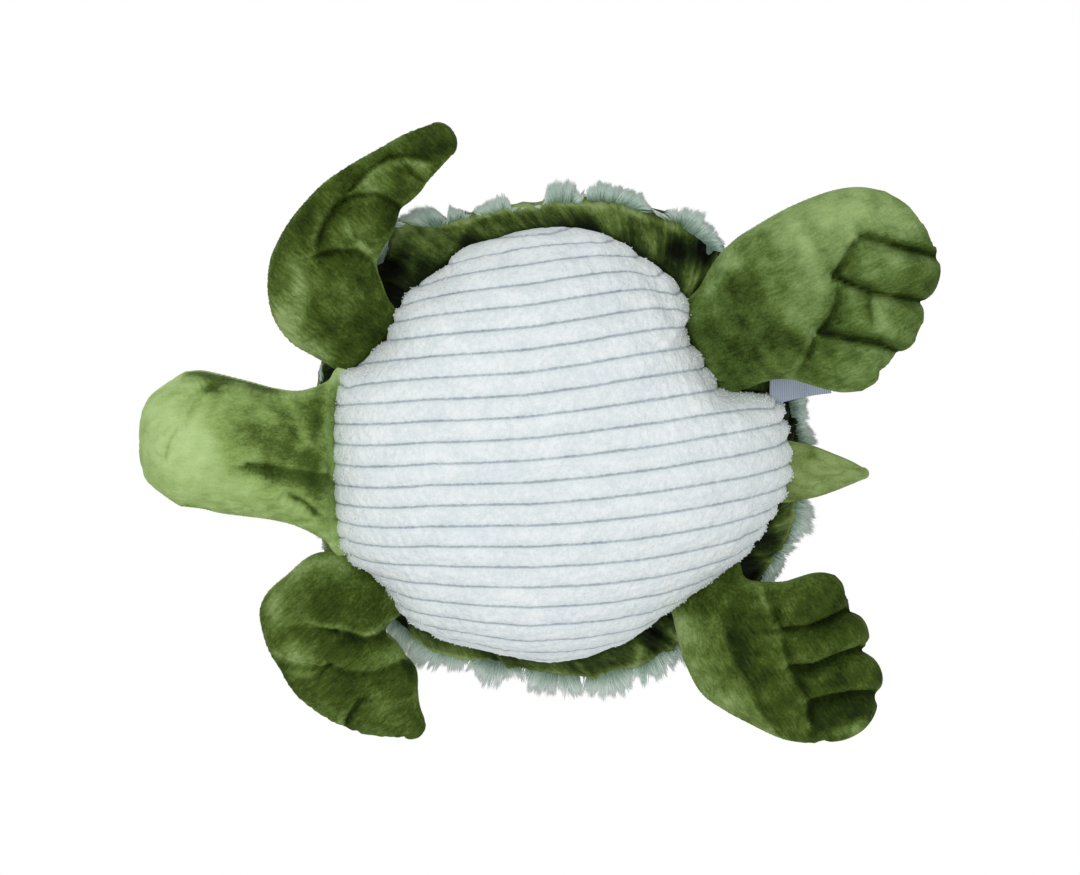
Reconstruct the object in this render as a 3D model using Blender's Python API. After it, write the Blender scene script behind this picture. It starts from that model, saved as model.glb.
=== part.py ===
"""Plush sea turtle, lying on its belly.

Metres, +Z up, +X to the turtle's left, the head towards -Y.  The origin is the
centre of the flat patch that the stuffed belly rests on.

Every skin is a sewn cover that is open where it joins the body, with its own
filling inside.  Each limb turns on its root seam, at the height of the seam
that runs round the belly.
"""

import math

import bmesh
import bpy
import numpy as np
from mathutils import Matrix, Vector
from mathutils.bvhtree import BVHTree

# Body: the belly bowl, the gathered rim band and the furry shell cover
SEAM_HEIGHT = 0.058
BELLY_RADIUS = 0.140
BELLY_THICKNESS = 0.003
REST_CUT = 0.0005
SHELL_OUTSET_X = 0.012
SHELL_OUTSET_Y = 0.014
SHELL_EDGE_HEIGHT = 0.076
SHELL_TOP_HEIGHT = 0.138
RIM_THICKNESS = 0.0025
RIM_BULGE = 0.0015
FUR_THICKNESS = 0.009
FUR_OVERHANG = 0.007
FUR_EDGE_RISE = 0.008
SEAM_CLEARANCE = 0.0003
STUFFING_CLEARANCE = 0.0006

# Limbs: reach from the root seam, skin and filling
FRONT_LEFT_REACH = 0.190
FRONT_RIGHT_REACH = 0.150
REAR_LEFT_REACH = 0.145
REAR_RIGHT_REACH = 0.125
HEAD_REACH = 0.116
TAIL_REACH = 0.047
ROOT_CLEARANCE = 0.0008
ROOT_BELOW_SEAM = 0.0018
ROOT_HALF_THICKNESS = 0.0014
ROOT_SLOT_HALF_HEIGHT = 0.0004
SKIN_THICKNESS = 0.0013
SKIN_SEAM_WIDTH = 0.0025
FILL_CLEARANCE = 0.0005

ROOT_HEIGHT = SEAM_HEIGHT - ROOT_BELOW_SEAM

# Half thickness of each limb at its fullest place
FLIPPER_HALF_THICKNESS = 0.017
FOOT_HALF_THICKNESS = 0.020
HEAD_HALF_THICKNESS = 0.035
TAIL_HALF_THICKNESS = 0.0075

# How far each limb hangs below the belly seam at its lowest place
FLIPPER_DROP = 0.028
FOOT_DROP = 0.035
HEAD_DROP = 0.015
TAIL_DROP = 0.0055

# Toes of the rear feet: how far they stand out, their notches and stitch lines
LEFT_TOE_LENGTH = 0.014
RIGHT_TOE_LENGTH = 0.016
TOE_NOTCH = 0.004
TOE_CHANNEL_DEPTH = 0.006
THREAD_RADIUS = 0.0005
THREAD_CLEARANCE = 0.0005
THREAD_SIDES = 6
THREAD_COUNT = 3

# Safety eyes, each a dome on a shank that a lock washer holds inside the head
EYE_RADIUS = 0.0065
EYE_HEIGHT = 0.0042
EYE_FLANGE = 0.0008
SHANK_RADIUS = 0.0017
SHANK_LENGTH = 0.0085
EYE_SEAT_CLEARANCE = 0.0007
SHANK_CLEARANCE = 0.0003
WASHER_RADIUS = 0.0065
WASHER_THICKNESS = 0.0013
WASHER_CLEARANCE = 0.0014
POCKET_CLEARANCE = 0.0006
ROUND_SEGMENTS = 20
EYE_DOME_STEPS = 4
EYE_ELEVATION = 40.0
EYE_FORWARD_TURN = 16.0

# Care label, a folded ribbon sewn into the belly seam
LABEL_WIDTH = 0.020
LABEL_LENGTH = 0.036
LABEL_RIBBON = 0.0004
LABEL_FOLD_GAP = 0.0006
LABEL_RISE = 20.0
LABEL_CLEARANCE = 0.0011

# Cutters pass this far beyond what they cut
OVERRUN = 0.004

# Belly outline in plan, as shares of the belly radius, from the head round by
# the turtle's left.  Its straight seams are where the head, the limbs and the
# tail are sewn in.
HEAD_SEAM_SHARES = ((-0.400, -1.018), (0.300, -1.018))
FRONT_LEFT_SEAM_SHARES = ((0.331, -0.954), (0.642, -0.702))
LEFT_FLANK_SHARES = (
    (0.720, -0.657), (0.820, -0.536), (0.914, -0.386), (0.964, -0.236),
    (0.989, -0.071), (0.989, 0.086), (0.961, 0.193), (0.907, 0.300),
    (0.843, 0.400), (0.771, 0.500), (0.693, 0.579),
)
REAR_LEFT_SEAM_SHARES = ((0.568, 0.578), (0.277, 0.784))
LEFT_RUMP_SHARES = ((0.243, 0.907), (0.200, 0.975), (0.121, 1.011))
TAIL_SEAM_SHARES = ((0.029, 1.025), (-0.250, 1.025))
RIGHT_RUMP_SHARES = ((-0.329, 0.989), (-0.414, 0.921), (-0.486, 0.850))
REAR_RIGHT_SEAM_SHARES = ((-0.551, 0.770), (-0.783, 0.480))
RIGHT_FLANK_SHARES = (
    (-0.857, 0.379), (-0.921, 0.250), (-0.975, 0.107), (-1.000, -0.043),
    (-1.000, -0.200), (-0.979, -0.357), (-0.936, -0.507), (-0.871, -0.643),
)
FRONT_RIGHT_SEAM_SHARES = ((-0.796, -0.702), (-0.507, -0.946))
BELLY_OUTLINE_SHARES = (
    HEAD_SEAM_SHARES + FRONT_LEFT_SEAM_SHARES + LEFT_FLANK_SHARES
    + REAR_LEFT_SEAM_SHARES + LEFT_RUMP_SHARES + TAIL_SEAM_SHARES
    + RIGHT_RUMP_SHARES + REAR_RIGHT_SEAM_SHARES + RIGHT_FLANK_SHARES
    + FRONT_RIGHT_SEAM_SHARES
)
LABEL_CORNER_SHARES = LEFT_RUMP_SHARES[1]
OUTLINE_STEP_SHARE = 0.15

# Rings of the bowl and the dome, as shares of the way from the middle out
BELLY_RING_SHARES = (1.0, 0.96, 0.90, 0.81, 0.68, 0.50)
SHELL_RING_SHARES = (1.0, 0.97, 0.91, 0.81, 0.66, 0.46, 0.22)
BELLY_FULLNESS = 3.0
BELLY_ROUNDNESS = 0.5
SHELL_FULLNESS = 2.4
SHELL_ROUNDNESS = 0.55

# Edges of each limb in plan, root first, as (outward, sideways) shares of its
# reach, measured from the middle of its root seam.
FRONT_LEFT_FORE_SHARES = (
    (0.00, -0.12), (0.13, -0.15), (0.23, -0.15), (0.36, -0.07), (0.42, 0.04),
    (0.45, 0.16), (0.43, 0.27), (0.40, 0.39), (0.36, 0.50), (0.32, 0.60),
    (0.28, 0.67), (0.24, 0.71),
)
FRONT_LEFT_REAR_SHARES = (
    (0.00, 0.12), (0.06, 0.16), (0.12, 0.20), (0.15, 0.25), (0.16, 0.30),
    (0.17, 0.39), (0.17, 0.45), (0.18, 0.52), (0.17, 0.56), (0.17, 0.62),
    (0.18, 0.68), (0.19, 0.70),
)
FRONT_RIGHT_FORE_SHARES = (
    (0.00, 0.16), (0.06, 0.26), (0.18, 0.30), (0.33, 0.30), (0.43, 0.24),
    (0.48, 0.14), (0.51, 0.03), (0.51, -0.09), (0.48, -0.24), (0.41, -0.39),
    (0.37, -0.44), (0.33, -0.49),
)
FRONT_RIGHT_REAR_SHARES = (
    (0.00, -0.15), (0.05, -0.15), (0.07, -0.19), (0.08, -0.24), (0.09, -0.28),
    (0.10, -0.32), (0.11, -0.37), (0.13, -0.42), (0.15, -0.47), (0.17, -0.52),
    (0.18, -0.53), (0.20, -0.55),
)
REAR_LEFT_OUTER_SHARES = (
    (0.00, -0.155), (0.06, -0.23), (0.19, -0.30), (0.33, -0.35), (0.48, -0.35),
    (0.63, -0.33), (0.75, -0.29), (0.86, -0.25), (0.93, -0.18), (0.99, -0.08),
    (1.01, 0.05),
)
REAR_LEFT_INNER_SHARES = (
    (0.00, 0.155), (0.02, 0.20), (0.09, 0.21), (0.16, 0.24), (0.22, 0.29),
    (0.26, 0.34), (0.30, 0.39), (0.35, 0.43), (0.39, 0.46), (0.43, 0.47),
    (0.46, 0.46),
)
REAR_RIGHT_INNER_SHARES = (
    (0.00, -0.15), (0.03, -0.23), (0.09, -0.26), (0.13, -0.30), (0.17, -0.34),
    (0.19, -0.39), (0.21, -0.45), (0.23, -0.51), (0.25, -0.56), (0.30, -0.60),
    (0.37, -0.60),
)
REAR_RIGHT_OUTER_SHARES = (
    (0.00, 0.15), (0.06, 0.21), (0.16, 0.25), (0.27, 0.28), (0.38, 0.29),
    (0.50, 0.26), (0.62, 0.21), (0.74, 0.15), (0.86, 0.05), (0.95, -0.07),
    (0.99, -0.19),
)
HEAD_LEFT_SHARES = (
    (0.00, 0.41), (0.05, 0.40), (0.16, 0.37), (0.32, 0.40), (0.47, 0.43),
    (0.58, 0.46), (0.68, 0.49), (0.76, 0.48), (0.84, 0.44), (0.92, 0.37),
    (0.97, 0.31), (1.00, 0.18),
)
HEAD_RIGHT_SHARES = (
    (0.00, -0.41), (0.05, -0.42), (0.17, -0.37), (0.33, -0.32), (0.49, -0.30),
    (0.60, -0.28), (0.70, -0.26), (0.78, -0.23), (0.86, -0.19), (0.94, -0.11),
    (0.98, -0.03), (1.00, 0.07),
)
TAIL_LEFT_SHARES = (
    (0.00, -0.36), (0.26, -0.35), (0.50, -0.26), (0.77, -0.16), (0.92, -0.07),
    (0.99, -0.03),
)
TAIL_RIGHT_SHARES = (
    (0.00, 0.36), (0.32, 0.32), (0.58, 0.24), (0.77, 0.16), (0.93, 0.09),
    (0.99, 0.06),
)

# Fullness and hang of each station, as shares of the fullest and the lowest
FLIPPER_FULL_SHARES = (0.0, 0.42, 0.70, 0.94, 1.0, 0.97, 0.91, 0.79, 0.68, 0.56, 0.38, 0.12)
FLIPPER_DROP_SHARES = (0.0, 0.26, 0.46, 0.64, 0.75, 0.82, 0.86, 0.89, 0.93, 0.96, 1.0, 1.0)
FOOT_FULL_SHARES = (0.0, 0.16, 0.50, 0.73, 0.90, 0.98, 1.0, 0.98, 0.90, 0.70, 0.22)
FOOT_DROP_SHARES = (0.0, 0.11, 0.29, 0.46, 0.57, 0.66, 0.73, 0.80, 0.87, 0.94, 1.0)
HEAD_FULL_SHARES = (0.0, 0.25, 0.62, 0.82, 0.91, 0.97, 1.0, 0.97, 0.89, 0.70, 0.46, 0.15)
HEAD_DROP_SHARES = (0.0, 0.30, 0.67, 0.90, 0.97, 1.0, 1.0, 1.0, 1.0, 1.0, 1.0, 1.0)
TAIL_FULL_SHARES = (0.0, 0.67, 1.0, 0.93, 0.60, 0.20)
TAIL_DROP_SHARES = (0.0, 0.36, 0.55, 0.73, 0.91, 1.0)

# Toe channels: how far each station stands out at the toes, how deep its
# channels are, and how far the channels lie off the middle
TOE_REACH_SHARES = (0, 0, 0, 0, 0, 0, 0, 0.05, 0.30, 0.68, 1.0)
TOE_DEPTH_SHARES = (0, 0, 0, 0, 0, 0, 0.45, 1.0, 1.0, 0.9, 0.35)
LEFT_CHANNEL_SHIFT_SHARES = (0, 0, 0, 0, 0, 0, -0.04, -0.05, -0.05, -0.05, -0.06)
RIGHT_CHANNEL_SHIFT_SHARES = (0, 0, 0, 0, 0, 0.12, 0.12, 0.08, 0.02, -0.06, -0.14)

# Ring points round a limb, and how full its cross-section is
FLIPPER_RING_COUNT = 20
FOOT_RING_COUNT = 24
HEAD_RING_COUNT = 24
TAIL_RING_COUNT = 14
PILLOW_ROUNDNESS = 1.08
BARREL_ROUNDNESS = 0.92

# A drawn-in station keeps this share of its half width, and a toe channel takes
# at most this share of the height that it is cut into
NARROWEST_SHARE = 0.25
DEEPEST_CHANNEL_SHARE = 0.667

# Belly seam that carries each limb, and where along the seam its middle is
ROOT_SEAM_SHARES = {
    "head": HEAD_SEAM_SHARES,
    "front_left": FRONT_LEFT_SEAM_SHARES,
    "rear_left": REAR_LEFT_SEAM_SHARES,
    "tail": TAIL_SEAM_SHARES,
    "rear_right": REAR_RIGHT_SEAM_SHARES,
    "front_right": FRONT_RIGHT_SEAM_SHARES,
}
ROOT_MIDDLE_SHARES = {
    "head": 0.5,
    "front_left": 0.455,
    "rear_left": 0.47,
    "tail": 0.5,
    "rear_right": 0.49,
    "front_right": 0.5,
}

HEAD_GREEN = (0.38, 0.51, 0.21)
FLIPPER_OLIVE = (0.10, 0.17, 0.04)
FOOT_OLIVE = (0.16, 0.24, 0.07)
TAIL_GREEN = (0.22, 0.30, 0.11)
BELLY_WHITE = (0.66, 0.71, 0.74)
FUR_SAGE = (0.33, 0.42, 0.34)
FIBRE_WHITE = (0.90, 0.90, 0.88)
LABEL_WHITE = (0.80, 0.80, 0.86)
EYE_BLACK = (0.01, 0.01, 0.01)
WASHER_WHITE = (0.85, 0.85, 0.82)
THREAD_OLIVE = (0.05, 0.08, 0.02)

FABRIC_ROUGHNESS = 0.9
PLASTIC_ROUGHNESS = 0.35
EYE_ROUGHNESS = 0.08


def clear_scene():
    """Removes every object, so that the script gives the same scene each run."""
    for item in list(bpy.data.objects):
        bpy.data.objects.remove(item, do_unlink=True)


def make_material(name, colour, roughness):
    """A plain Principled material."""
    material = bpy.data.materials.new(name)
    material.use_nodes = True
    shader = material.node_tree.nodes["Principled BSDF"]
    shader.inputs["Base Color"].default_value = (*colour, 1.0)
    shader.inputs["Roughness"].default_value = roughness
    shader.inputs["Metallic"].default_value = 0.0
    return material


def add_object(name, mesh_builder, material, origin=(0, 0, 0)):
    """Makes a smooth object from a bmesh in world places, with its origin on a joint axis."""
    bmesh.ops.recalc_face_normals(mesh_builder, faces=mesh_builder.faces)
    mesh_builder.transform(Matrix.Translation(-Vector(origin)))
    mesh = bpy.data.meshes.new(name)
    mesh_builder.to_mesh(mesh)
    mesh_builder.free()
    mesh.shade_smooth()
    mesh.materials.append(material)
    item = bpy.data.objects.new(name, mesh)
    item.location = origin
    bpy.context.collection.objects.link(item)
    return item


def add_ring(mesh_builder, points):
    """Adds one ring of vertices."""
    return [mesh_builder.verts.new(tuple(point)) for point in points]


def bridge(mesh_builder, first, second, turned=False):
    """Joins two rings of the same count with triangles.

    Faces that lie close to one another are split the same way, so that they keep
    their distance: a run of rings taken backwards is bridged turned.
    """
    count = len(first)
    for index in range(count):
        after = (index + 1) % count
        a, b, c, d = first[index], first[after], second[after], second[index]
        halves = ((a, b, d), (b, c, d)) if turned else ((a, b, c), (a, c, d))
        for corners in halves:
            mesh_builder.faces.new(corners)


def cap_flat(mesh_builder, ring):
    """Closes a ring that lies in one plane."""
    mesh_builder.faces.new(ring)


def cap_strip(mesh_builder, ring):
    """Closes a flattened ring with quads from its upper half to its lower half."""
    count = len(ring)
    half = count // 2
    mesh_builder.faces.new((ring[0], ring[1], ring[-1]))
    for index in range(1, half - 1):
        mesh_builder.faces.new(
            (ring[index], ring[index + 1], ring[count - index - 1], ring[count - index])
        )
    mesh_builder.faces.new((ring[half - 1], ring[half], ring[half + 1]))


def solid_from_rings(rings, close_start, close_end, turned_spans=0):
    """A closed solid through a list of rings, the first few spans of it turned."""
    mesh_builder = bmesh.new()
    loops = [add_ring(mesh_builder, ring) for ring in rings]
    for index, (first, second) in enumerate(zip(loops, loops[1:])):
        bridge(mesh_builder, first, second, index < turned_spans)
    close_start(mesh_builder, loops[0])
    close_end(mesh_builder, loops[-1])
    return mesh_builder


def cover_from_rings(outer_rings, inner_rings, close_end):
    """A cover with a wall, open at its first ring and closed at its last."""
    mesh_builder = bmesh.new()
    outer = [add_ring(mesh_builder, ring) for ring in outer_rings]
    inner = [add_ring(mesh_builder, ring) for ring in inner_rings]
    for loops in (outer, inner):
        for first, second in zip(loops, loops[1:]):
            bridge(mesh_builder, first, second)
        close_end(mesh_builder, loops[-1])
    bridge(mesh_builder, outer[0], inner[0])
    return mesh_builder


def band_from_rings(outer_rings, inner_rings):
    """A closed band whose section runs out through one list of rings and back through another."""
    mesh_builder = bmesh.new()
    outer = [add_ring(mesh_builder, ring) for ring in outer_rings]
    inner = [add_ring(mesh_builder, ring) for ring in inner_rings]
    for loops in (outer, inner):
        for first, second in zip(loops, loops[1:]):
            bridge(mesh_builder, first, second)
    bridge(mesh_builder, outer[0], inner[0])
    bridge(mesh_builder, outer[-1], inner[-1])
    return mesh_builder


# Body outlines

def belly_outline():
    """Belly outline with its long runs divided, which keeps each run straight."""
    corners = np.array(BELLY_OUTLINE_SHARES) * BELLY_RADIUS
    step = BELLY_RADIUS * OUTLINE_STEP_SHARE
    points = []
    for start, end in zip(corners, np.roll(corners, -1, axis=0)):
        pieces = max(1, round(float(np.linalg.norm(end - start)) / step))
        for index in range(pieces):
            points.append(start + (end - start) * index / pieces)
    return np.array(points)


def shell_outline(outset):
    """Shell outline on the same bearings as the belly outline."""
    bearings = belly_outline()
    bearings = bearings / np.linalg.norm(bearings, axis=1)[:, None]
    radii = np.array((BELLY_RADIUS + SHELL_OUTSET_X + outset, BELLY_RADIUS + SHELL_OUTSET_Y + outset))
    reach = 1.0 / np.linalg.norm(bearings / radii, axis=1)
    return bearings * reach[:, None]


def shrink(outline, inset):
    """Outline drawn in towards the middle by a length."""
    distance = np.linalg.norm(outline, axis=1)[:, None]
    return outline * (distance - inset) / distance


def level_ring(outline, height):
    """Outline at one height."""
    return np.column_stack((outline, np.full(len(outline), height)))


def belly_height(share, depth, floor):
    """Height of the belly surface at a share of the way out, cut flat at the floor."""
    rise = depth * (1.0 - (1.0 - share**BELLY_FULLNESS) ** BELLY_ROUNDNESS)
    return max(floor, SEAM_HEIGHT - depth + rise)


def flat_share(depth, cut):
    """Share of the way out where the belly surface meets a cut above its lowest place."""
    rest = (1.0 - cut / depth) ** (1.0 / BELLY_ROUNDNESS)
    return (1.0 - rest) ** (1.0 / BELLY_FULLNESS)


def belly_rings(inset, lift, floor_lift):
    """Rings of the belly bowl from its seam down to its flat patch."""
    outline = shrink(belly_outline(), inset)
    depth = SEAM_HEIGHT + REST_CUT - floor_lift
    rings = [level_ring(outline, SEAM_HEIGHT - lift)]
    for share in BELLY_RING_SHARES[1:]:
        rings.append(level_ring(outline * share, belly_height(share, depth, floor_lift)))
    rings.append(level_ring(outline * flat_share(depth, REST_CUT), floor_lift))
    return rings


def shell_rings(outline, top, inset_shares=SHELL_RING_SHARES):
    """Rings of the shell dome from its edge to its crown."""
    edge = SHELL_EDGE_HEIGHT
    rings = []
    for share in inset_shares:
        rise = (top - edge) * (1.0 - share**SHELL_FULLNESS) ** SHELL_ROUNDNESS
        rings.append(level_ring(outline * share, edge + rise))
    return rings


def build_belly_panel(material):
    """White ribbed plush bowl, cut flat where the turtle rests."""
    outer = belly_rings(0, 0, 0)
    inner = belly_rings(BELLY_THICKNESS, 0, BELLY_THICKNESS)
    return add_object("belly_panel", cover_from_rings(outer, inner, cap_flat), material)


def rim_rings(outset, bottom, top, lift):
    """Lower, middle and upper rings of one face of the rim band."""
    low = shrink(belly_outline(), -outset)
    high = shell_outline(outset)
    middle = (low + high) / 2
    middle_height = (bottom + top) / 2 + lift
    return [level_ring(low, bottom), level_ring(middle, middle_height), level_ring(high, top)]


def build_shell_rim(material):
    """Dark velour band gathered between the belly seam and the edge of the shell."""
    bottom = SEAM_HEIGHT + SEAM_CLEARANCE
    top = SHELL_EDGE_HEIGHT - SEAM_CLEARANCE
    outer = rim_rings(0, bottom, top, -RIM_BULGE)
    inner = rim_rings(-RIM_THICKNESS, bottom, top, RIM_THICKNESS - RIM_BULGE)
    return add_object("shell_rim", band_from_rings(outer, inner), material)


def build_shell_cover(material):
    """Long-pile dome, at the mean height of its fur, which hangs over the rim band."""
    edge = level_ring(shell_outline(0), SHELL_EDGE_HEIGHT)
    lip = level_ring(shell_outline(FUR_OVERHANG), SHELL_EDGE_HEIGHT + FUR_EDGE_RISE)
    dome = shell_rings(shell_outline(FUR_OVERHANG), SHELL_TOP_HEIGHT)[2:]
    outer = [edge, lip] + dome
    inner_outline = shell_outline(-RIM_THICKNESS)
    inner = shell_rings(inner_outline, SHELL_TOP_HEIGHT - FUR_THICKNESS)
    return add_object("shell_cover", cover_from_rings(outer, inner, cap_flat), material)


def build_body_stuffing(material):
    """One mass of fibre that fills the belly, the rim band and the shell."""
    inset = BELLY_THICKNESS + STUFFING_CLEARANCE
    floor = BELLY_THICKNESS + STUFFING_CLEARANCE
    lower = belly_rings(inset, 0, floor)[::-1]
    middle = rim_rings(-inset, SEAM_HEIGHT, SHELL_EDGE_HEIGHT, inset - RIM_BULGE)[1:2]
    upper_outline = shell_outline(-inset)
    top = SHELL_TOP_HEIGHT - FUR_THICKNESS - STUFFING_CLEARANCE
    upper = shell_rings(upper_outline, top)
    solid = solid_from_rings(lower + middle + upper, cap_flat, cap_flat, len(lower) - 1)
    return add_object("body_stuffing", solid, material)


# Limbs

class Limb:
    """One sewn limb: its root on the belly seam and its stations out to the tip."""

    def __init__(self, name, reach, edges, fullness, hang, ring, roundness):
        self.name = name
        self.reach = reach
        self.edges = edges
        self.half_thickness, self.full_shares = fullness
        self.drop, self.drop_shares = hang
        self.ring = ring
        self.roundness = roundness
        self.toe_length = 0
        self.shift_shares = None
        start, end = np.array(ROOT_SEAM_SHARES[name]) * BELLY_RADIUS
        along = (end - start) / np.linalg.norm(end - start)
        self.sideways = along
        self.outward = np.array((along[1], -along[0]))
        middle = start + (end - start) * ROOT_MIDDLE_SHARES[name]
        self.root = middle + self.outward * ROOT_CLEARANCE

    def with_toes(self, toe_length, shift_shares):
        """Adds the toes of a rear foot."""
        self.toe_length = toe_length
        self.shift_shares = shift_shares
        return self

    def hinge(self):
        """Middle of the root seam, which the limb turns on."""
        return (self.root[0], self.root[1], ROOT_HEIGHT)

    def plan(self, shares):
        """Plan place of an (outward, sideways) share of the reach."""
        out, side = np.array(shares) * self.reach
        return self.root + self.outward * out + self.sideways * side

    def angles(self):
        """Angles of the ring points, with the two seams at zero and at half a turn."""
        return np.arange(self.ring) * 2 * math.pi / self.ring

    def channel_columns(self):
        """Ring points that lie in the toe channels, above and below."""
        sixth = self.ring // 6
        quarter = self.ring // 4
        upper = [sixth, quarter, 2 * sixth]
        return upper + [self.ring - column for column in upper]

    def station_ring(self, index, inset, wall, root_half):
        """Ring of one station, drawn in by an inset at the seams and by a wall above and below."""
        first = self.plan(self.edges[0][index])
        last = self.plan(self.edges[1][index])
        middle = (first + last) / 2
        half = (last - first) / 2
        length = np.linalg.norm(half)
        across = half / length
        half = across * max(length - inset, length * NARROWEST_SHARE)
        angles = self.angles()
        offset = -np.cos(angles)
        body = self.half_thickness * self.full_shares[index]
        thickness = max(ROOT_HALF_THICKNESS, body) - wall
        if index == 0:
            thickness = root_half
        rise = thickness * np.sign(np.sin(angles)) * np.abs(np.sin(angles)) ** self.roundness
        forward = np.zeros(len(angles))
        if self.toe_length:
            offset = offset + self.shift_shares[index] * (1 - offset**2)
            for column in self.channel_columns():
                depth = TOE_CHANNEL_DEPTH * TOE_DEPTH_SHARES[index]
                depth = min(depth, abs(rise[column]) * DEEPEST_CHANNEL_SHARE)
                rise[column] -= np.sign(rise[column]) * depth
            stand = self.toe_length * np.abs(np.sin(angles))
            stand[self.channel_columns()] -= TOE_NOTCH
            forward = stand * TOE_REACH_SHARES[index]
        way = np.array((across[1], -across[0]))
        before = self.plan(self.edges[0][index - 1]) if index else first
        if np.dot(way, first - before) < 0:
            way = -way
        flat = middle + offset[:, None] * half + forward[:, None] * way
        height = ROOT_HEIGHT - self.drop * self.drop_shares[index] + rise
        return np.column_stack((flat, height))

    def outer_rings(self):
        """Rings of the skin's outer face."""
        count = len(self.full_shares)
        return [self.station_ring(index, 0, 0, ROOT_HALF_THICKNESS) for index in range(count)]

    def inner_rings(self):
        """Rings of the skin's inner face, which stop short of the tip."""
        count = len(self.full_shares)
        rings = [
            self.station_ring(index, SKIN_SEAM_WIDTH, SKIN_THICKNESS, ROOT_SLOT_HALF_HEIGHT)
            for index in range(count - 1)
        ]
        return rings

    def fill_rings(self):
        """Rings of the filling, clear of the skin all round."""
        count = len(self.full_shares)
        inset = SKIN_SEAM_WIDTH + FILL_CLEARANCE * 2
        wall = SKIN_THICKNESS + FILL_CLEARANCE
        rings = [self.station_ring(index, inset, wall, 0) for index in range(1, count - 1)]
        last = rings[-1]
        middle = last.mean(axis=0)
        rings[-1] = last + (rings[-2].mean(axis=0) - middle) * FILL_CLEARANCE / np.linalg.norm(
            rings[-2].mean(axis=0) - middle
        )
        return rings


def make_limbs():
    """Every limb by name, with the head and the tail."""
    flipper_full = (FLIPPER_HALF_THICKNESS, FLIPPER_FULL_SHARES)
    flipper_hang = (FLIPPER_DROP, FLIPPER_DROP_SHARES)
    foot_full = (FOOT_HALF_THICKNESS, FOOT_FULL_SHARES)
    foot_hang = (FOOT_DROP, FOOT_DROP_SHARES)
    front_left = Limb(
        "front_left", FRONT_LEFT_REACH, (FRONT_LEFT_FORE_SHARES, FRONT_LEFT_REAR_SHARES),
        flipper_full, flipper_hang, FLIPPER_RING_COUNT, PILLOW_ROUNDNESS,
    )
    front_right = Limb(
        "front_right", FRONT_RIGHT_REACH, (FRONT_RIGHT_FORE_SHARES, FRONT_RIGHT_REAR_SHARES),
        flipper_full, flipper_hang, FLIPPER_RING_COUNT, PILLOW_ROUNDNESS,
    )
    rear_left = Limb(
        "rear_left", REAR_LEFT_REACH, (REAR_LEFT_OUTER_SHARES, REAR_LEFT_INNER_SHARES),
        foot_full, foot_hang, FOOT_RING_COUNT, PILLOW_ROUNDNESS,
    ).with_toes(LEFT_TOE_LENGTH, LEFT_CHANNEL_SHIFT_SHARES)
    rear_right = Limb(
        "rear_right", REAR_RIGHT_REACH, (REAR_RIGHT_INNER_SHARES, REAR_RIGHT_OUTER_SHARES),
        foot_full, foot_hang, FOOT_RING_COUNT, PILLOW_ROUNDNESS,
    ).with_toes(RIGHT_TOE_LENGTH, RIGHT_CHANNEL_SHIFT_SHARES)
    head = Limb(
        "head", HEAD_REACH, (HEAD_LEFT_SHARES, HEAD_RIGHT_SHARES),
        (HEAD_HALF_THICKNESS, HEAD_FULL_SHARES), (HEAD_DROP, HEAD_DROP_SHARES),
        HEAD_RING_COUNT, BARREL_ROUNDNESS,
    )
    tail = Limb(
        "tail", TAIL_REACH, (TAIL_LEFT_SHARES, TAIL_RIGHT_SHARES),
        (TAIL_HALF_THICKNESS, TAIL_FULL_SHARES), (TAIL_DROP, TAIL_DROP_SHARES),
        TAIL_RING_COUNT, BARREL_ROUNDNESS,
    )
    return {limb.name: limb for limb in (front_left, front_right, rear_left, rear_right, head, tail)}


def build_limb(limb, node, skin_material, fibre):
    """Skin and filling of one limb."""
    skin = cover_from_rings(limb.outer_rings(), limb.inner_rings(), cap_strip)
    fill = solid_from_rings(limb.fill_rings(), cap_strip, cap_strip)
    return (
        add_object(node + "_skin", skin, skin_material, limb.hinge()),
        add_object(node + "_stuffing", fill, fibre, limb.hinge()),
    )


def build_toe_threads(limb, node, material):
    """Stitched lines between the toes, each one thread over and under the foot."""
    rings = limb.outer_rings()
    first = next(index for index, share in enumerate(TOE_DEPTH_SHARES) if share > 0)
    lift = THREAD_RADIUS + THREAD_CLEARANCE
    turns = np.arange(THREAD_SIDES) * 2 * math.pi / THREAD_SIDES
    upper_columns = limb.channel_columns()[:THREAD_COUNT]
    for number, column in enumerate(upper_columns, start=1):
        above = [rings[index][column] for index in range(first, len(rings))]
        below = [rings[index][limb.ring - column] for index in range(first, len(rings))]
        along = above[-1] - above[-2]
        along[2] = 0
        along /= np.linalg.norm(along)
        up = np.array((0, 0, 1.0))
        tip = [above[-1] + (along + up) * lift, below[-1] + (along - up) * lift]
        path = [point + up * lift for point in above[:-1]] + tip
        path += [point - up * lift for point in below[:-1][::-1]]
        path = np.array(path)
        tangents = np.gradient(path, axis=0)
        tangents /= np.linalg.norm(tangents, axis=1)[:, None]
        level = np.cross(along, up)
        loops = []
        for place, tangent in zip(path, tangents):
            side = level - tangent * np.dot(level, tangent)
            side /= np.linalg.norm(side)
            normal = np.cross(tangent, side)
            ring = [
                place + THREAD_RADIUS * (math.cos(turn) * side + math.sin(turn) * normal)
                for turn in turns
            ]
            loops.append(ring)
        thread = solid_from_rings(loops, cap_flat, cap_flat)
        add_object(f"{node}_toe_thread_{number}", thread, material, limb.hinge())


# Safety eyes

def round_ring(radius, height):
    """Points of a level circle about Z, or one point where the radius is nothing."""
    count = ROUND_SEGMENTS if radius else 1
    turns = np.arange(count) * 2 * math.pi / count
    return [(radius * math.cos(turn), radius * math.sin(turn), height) for turn in turns]


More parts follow.
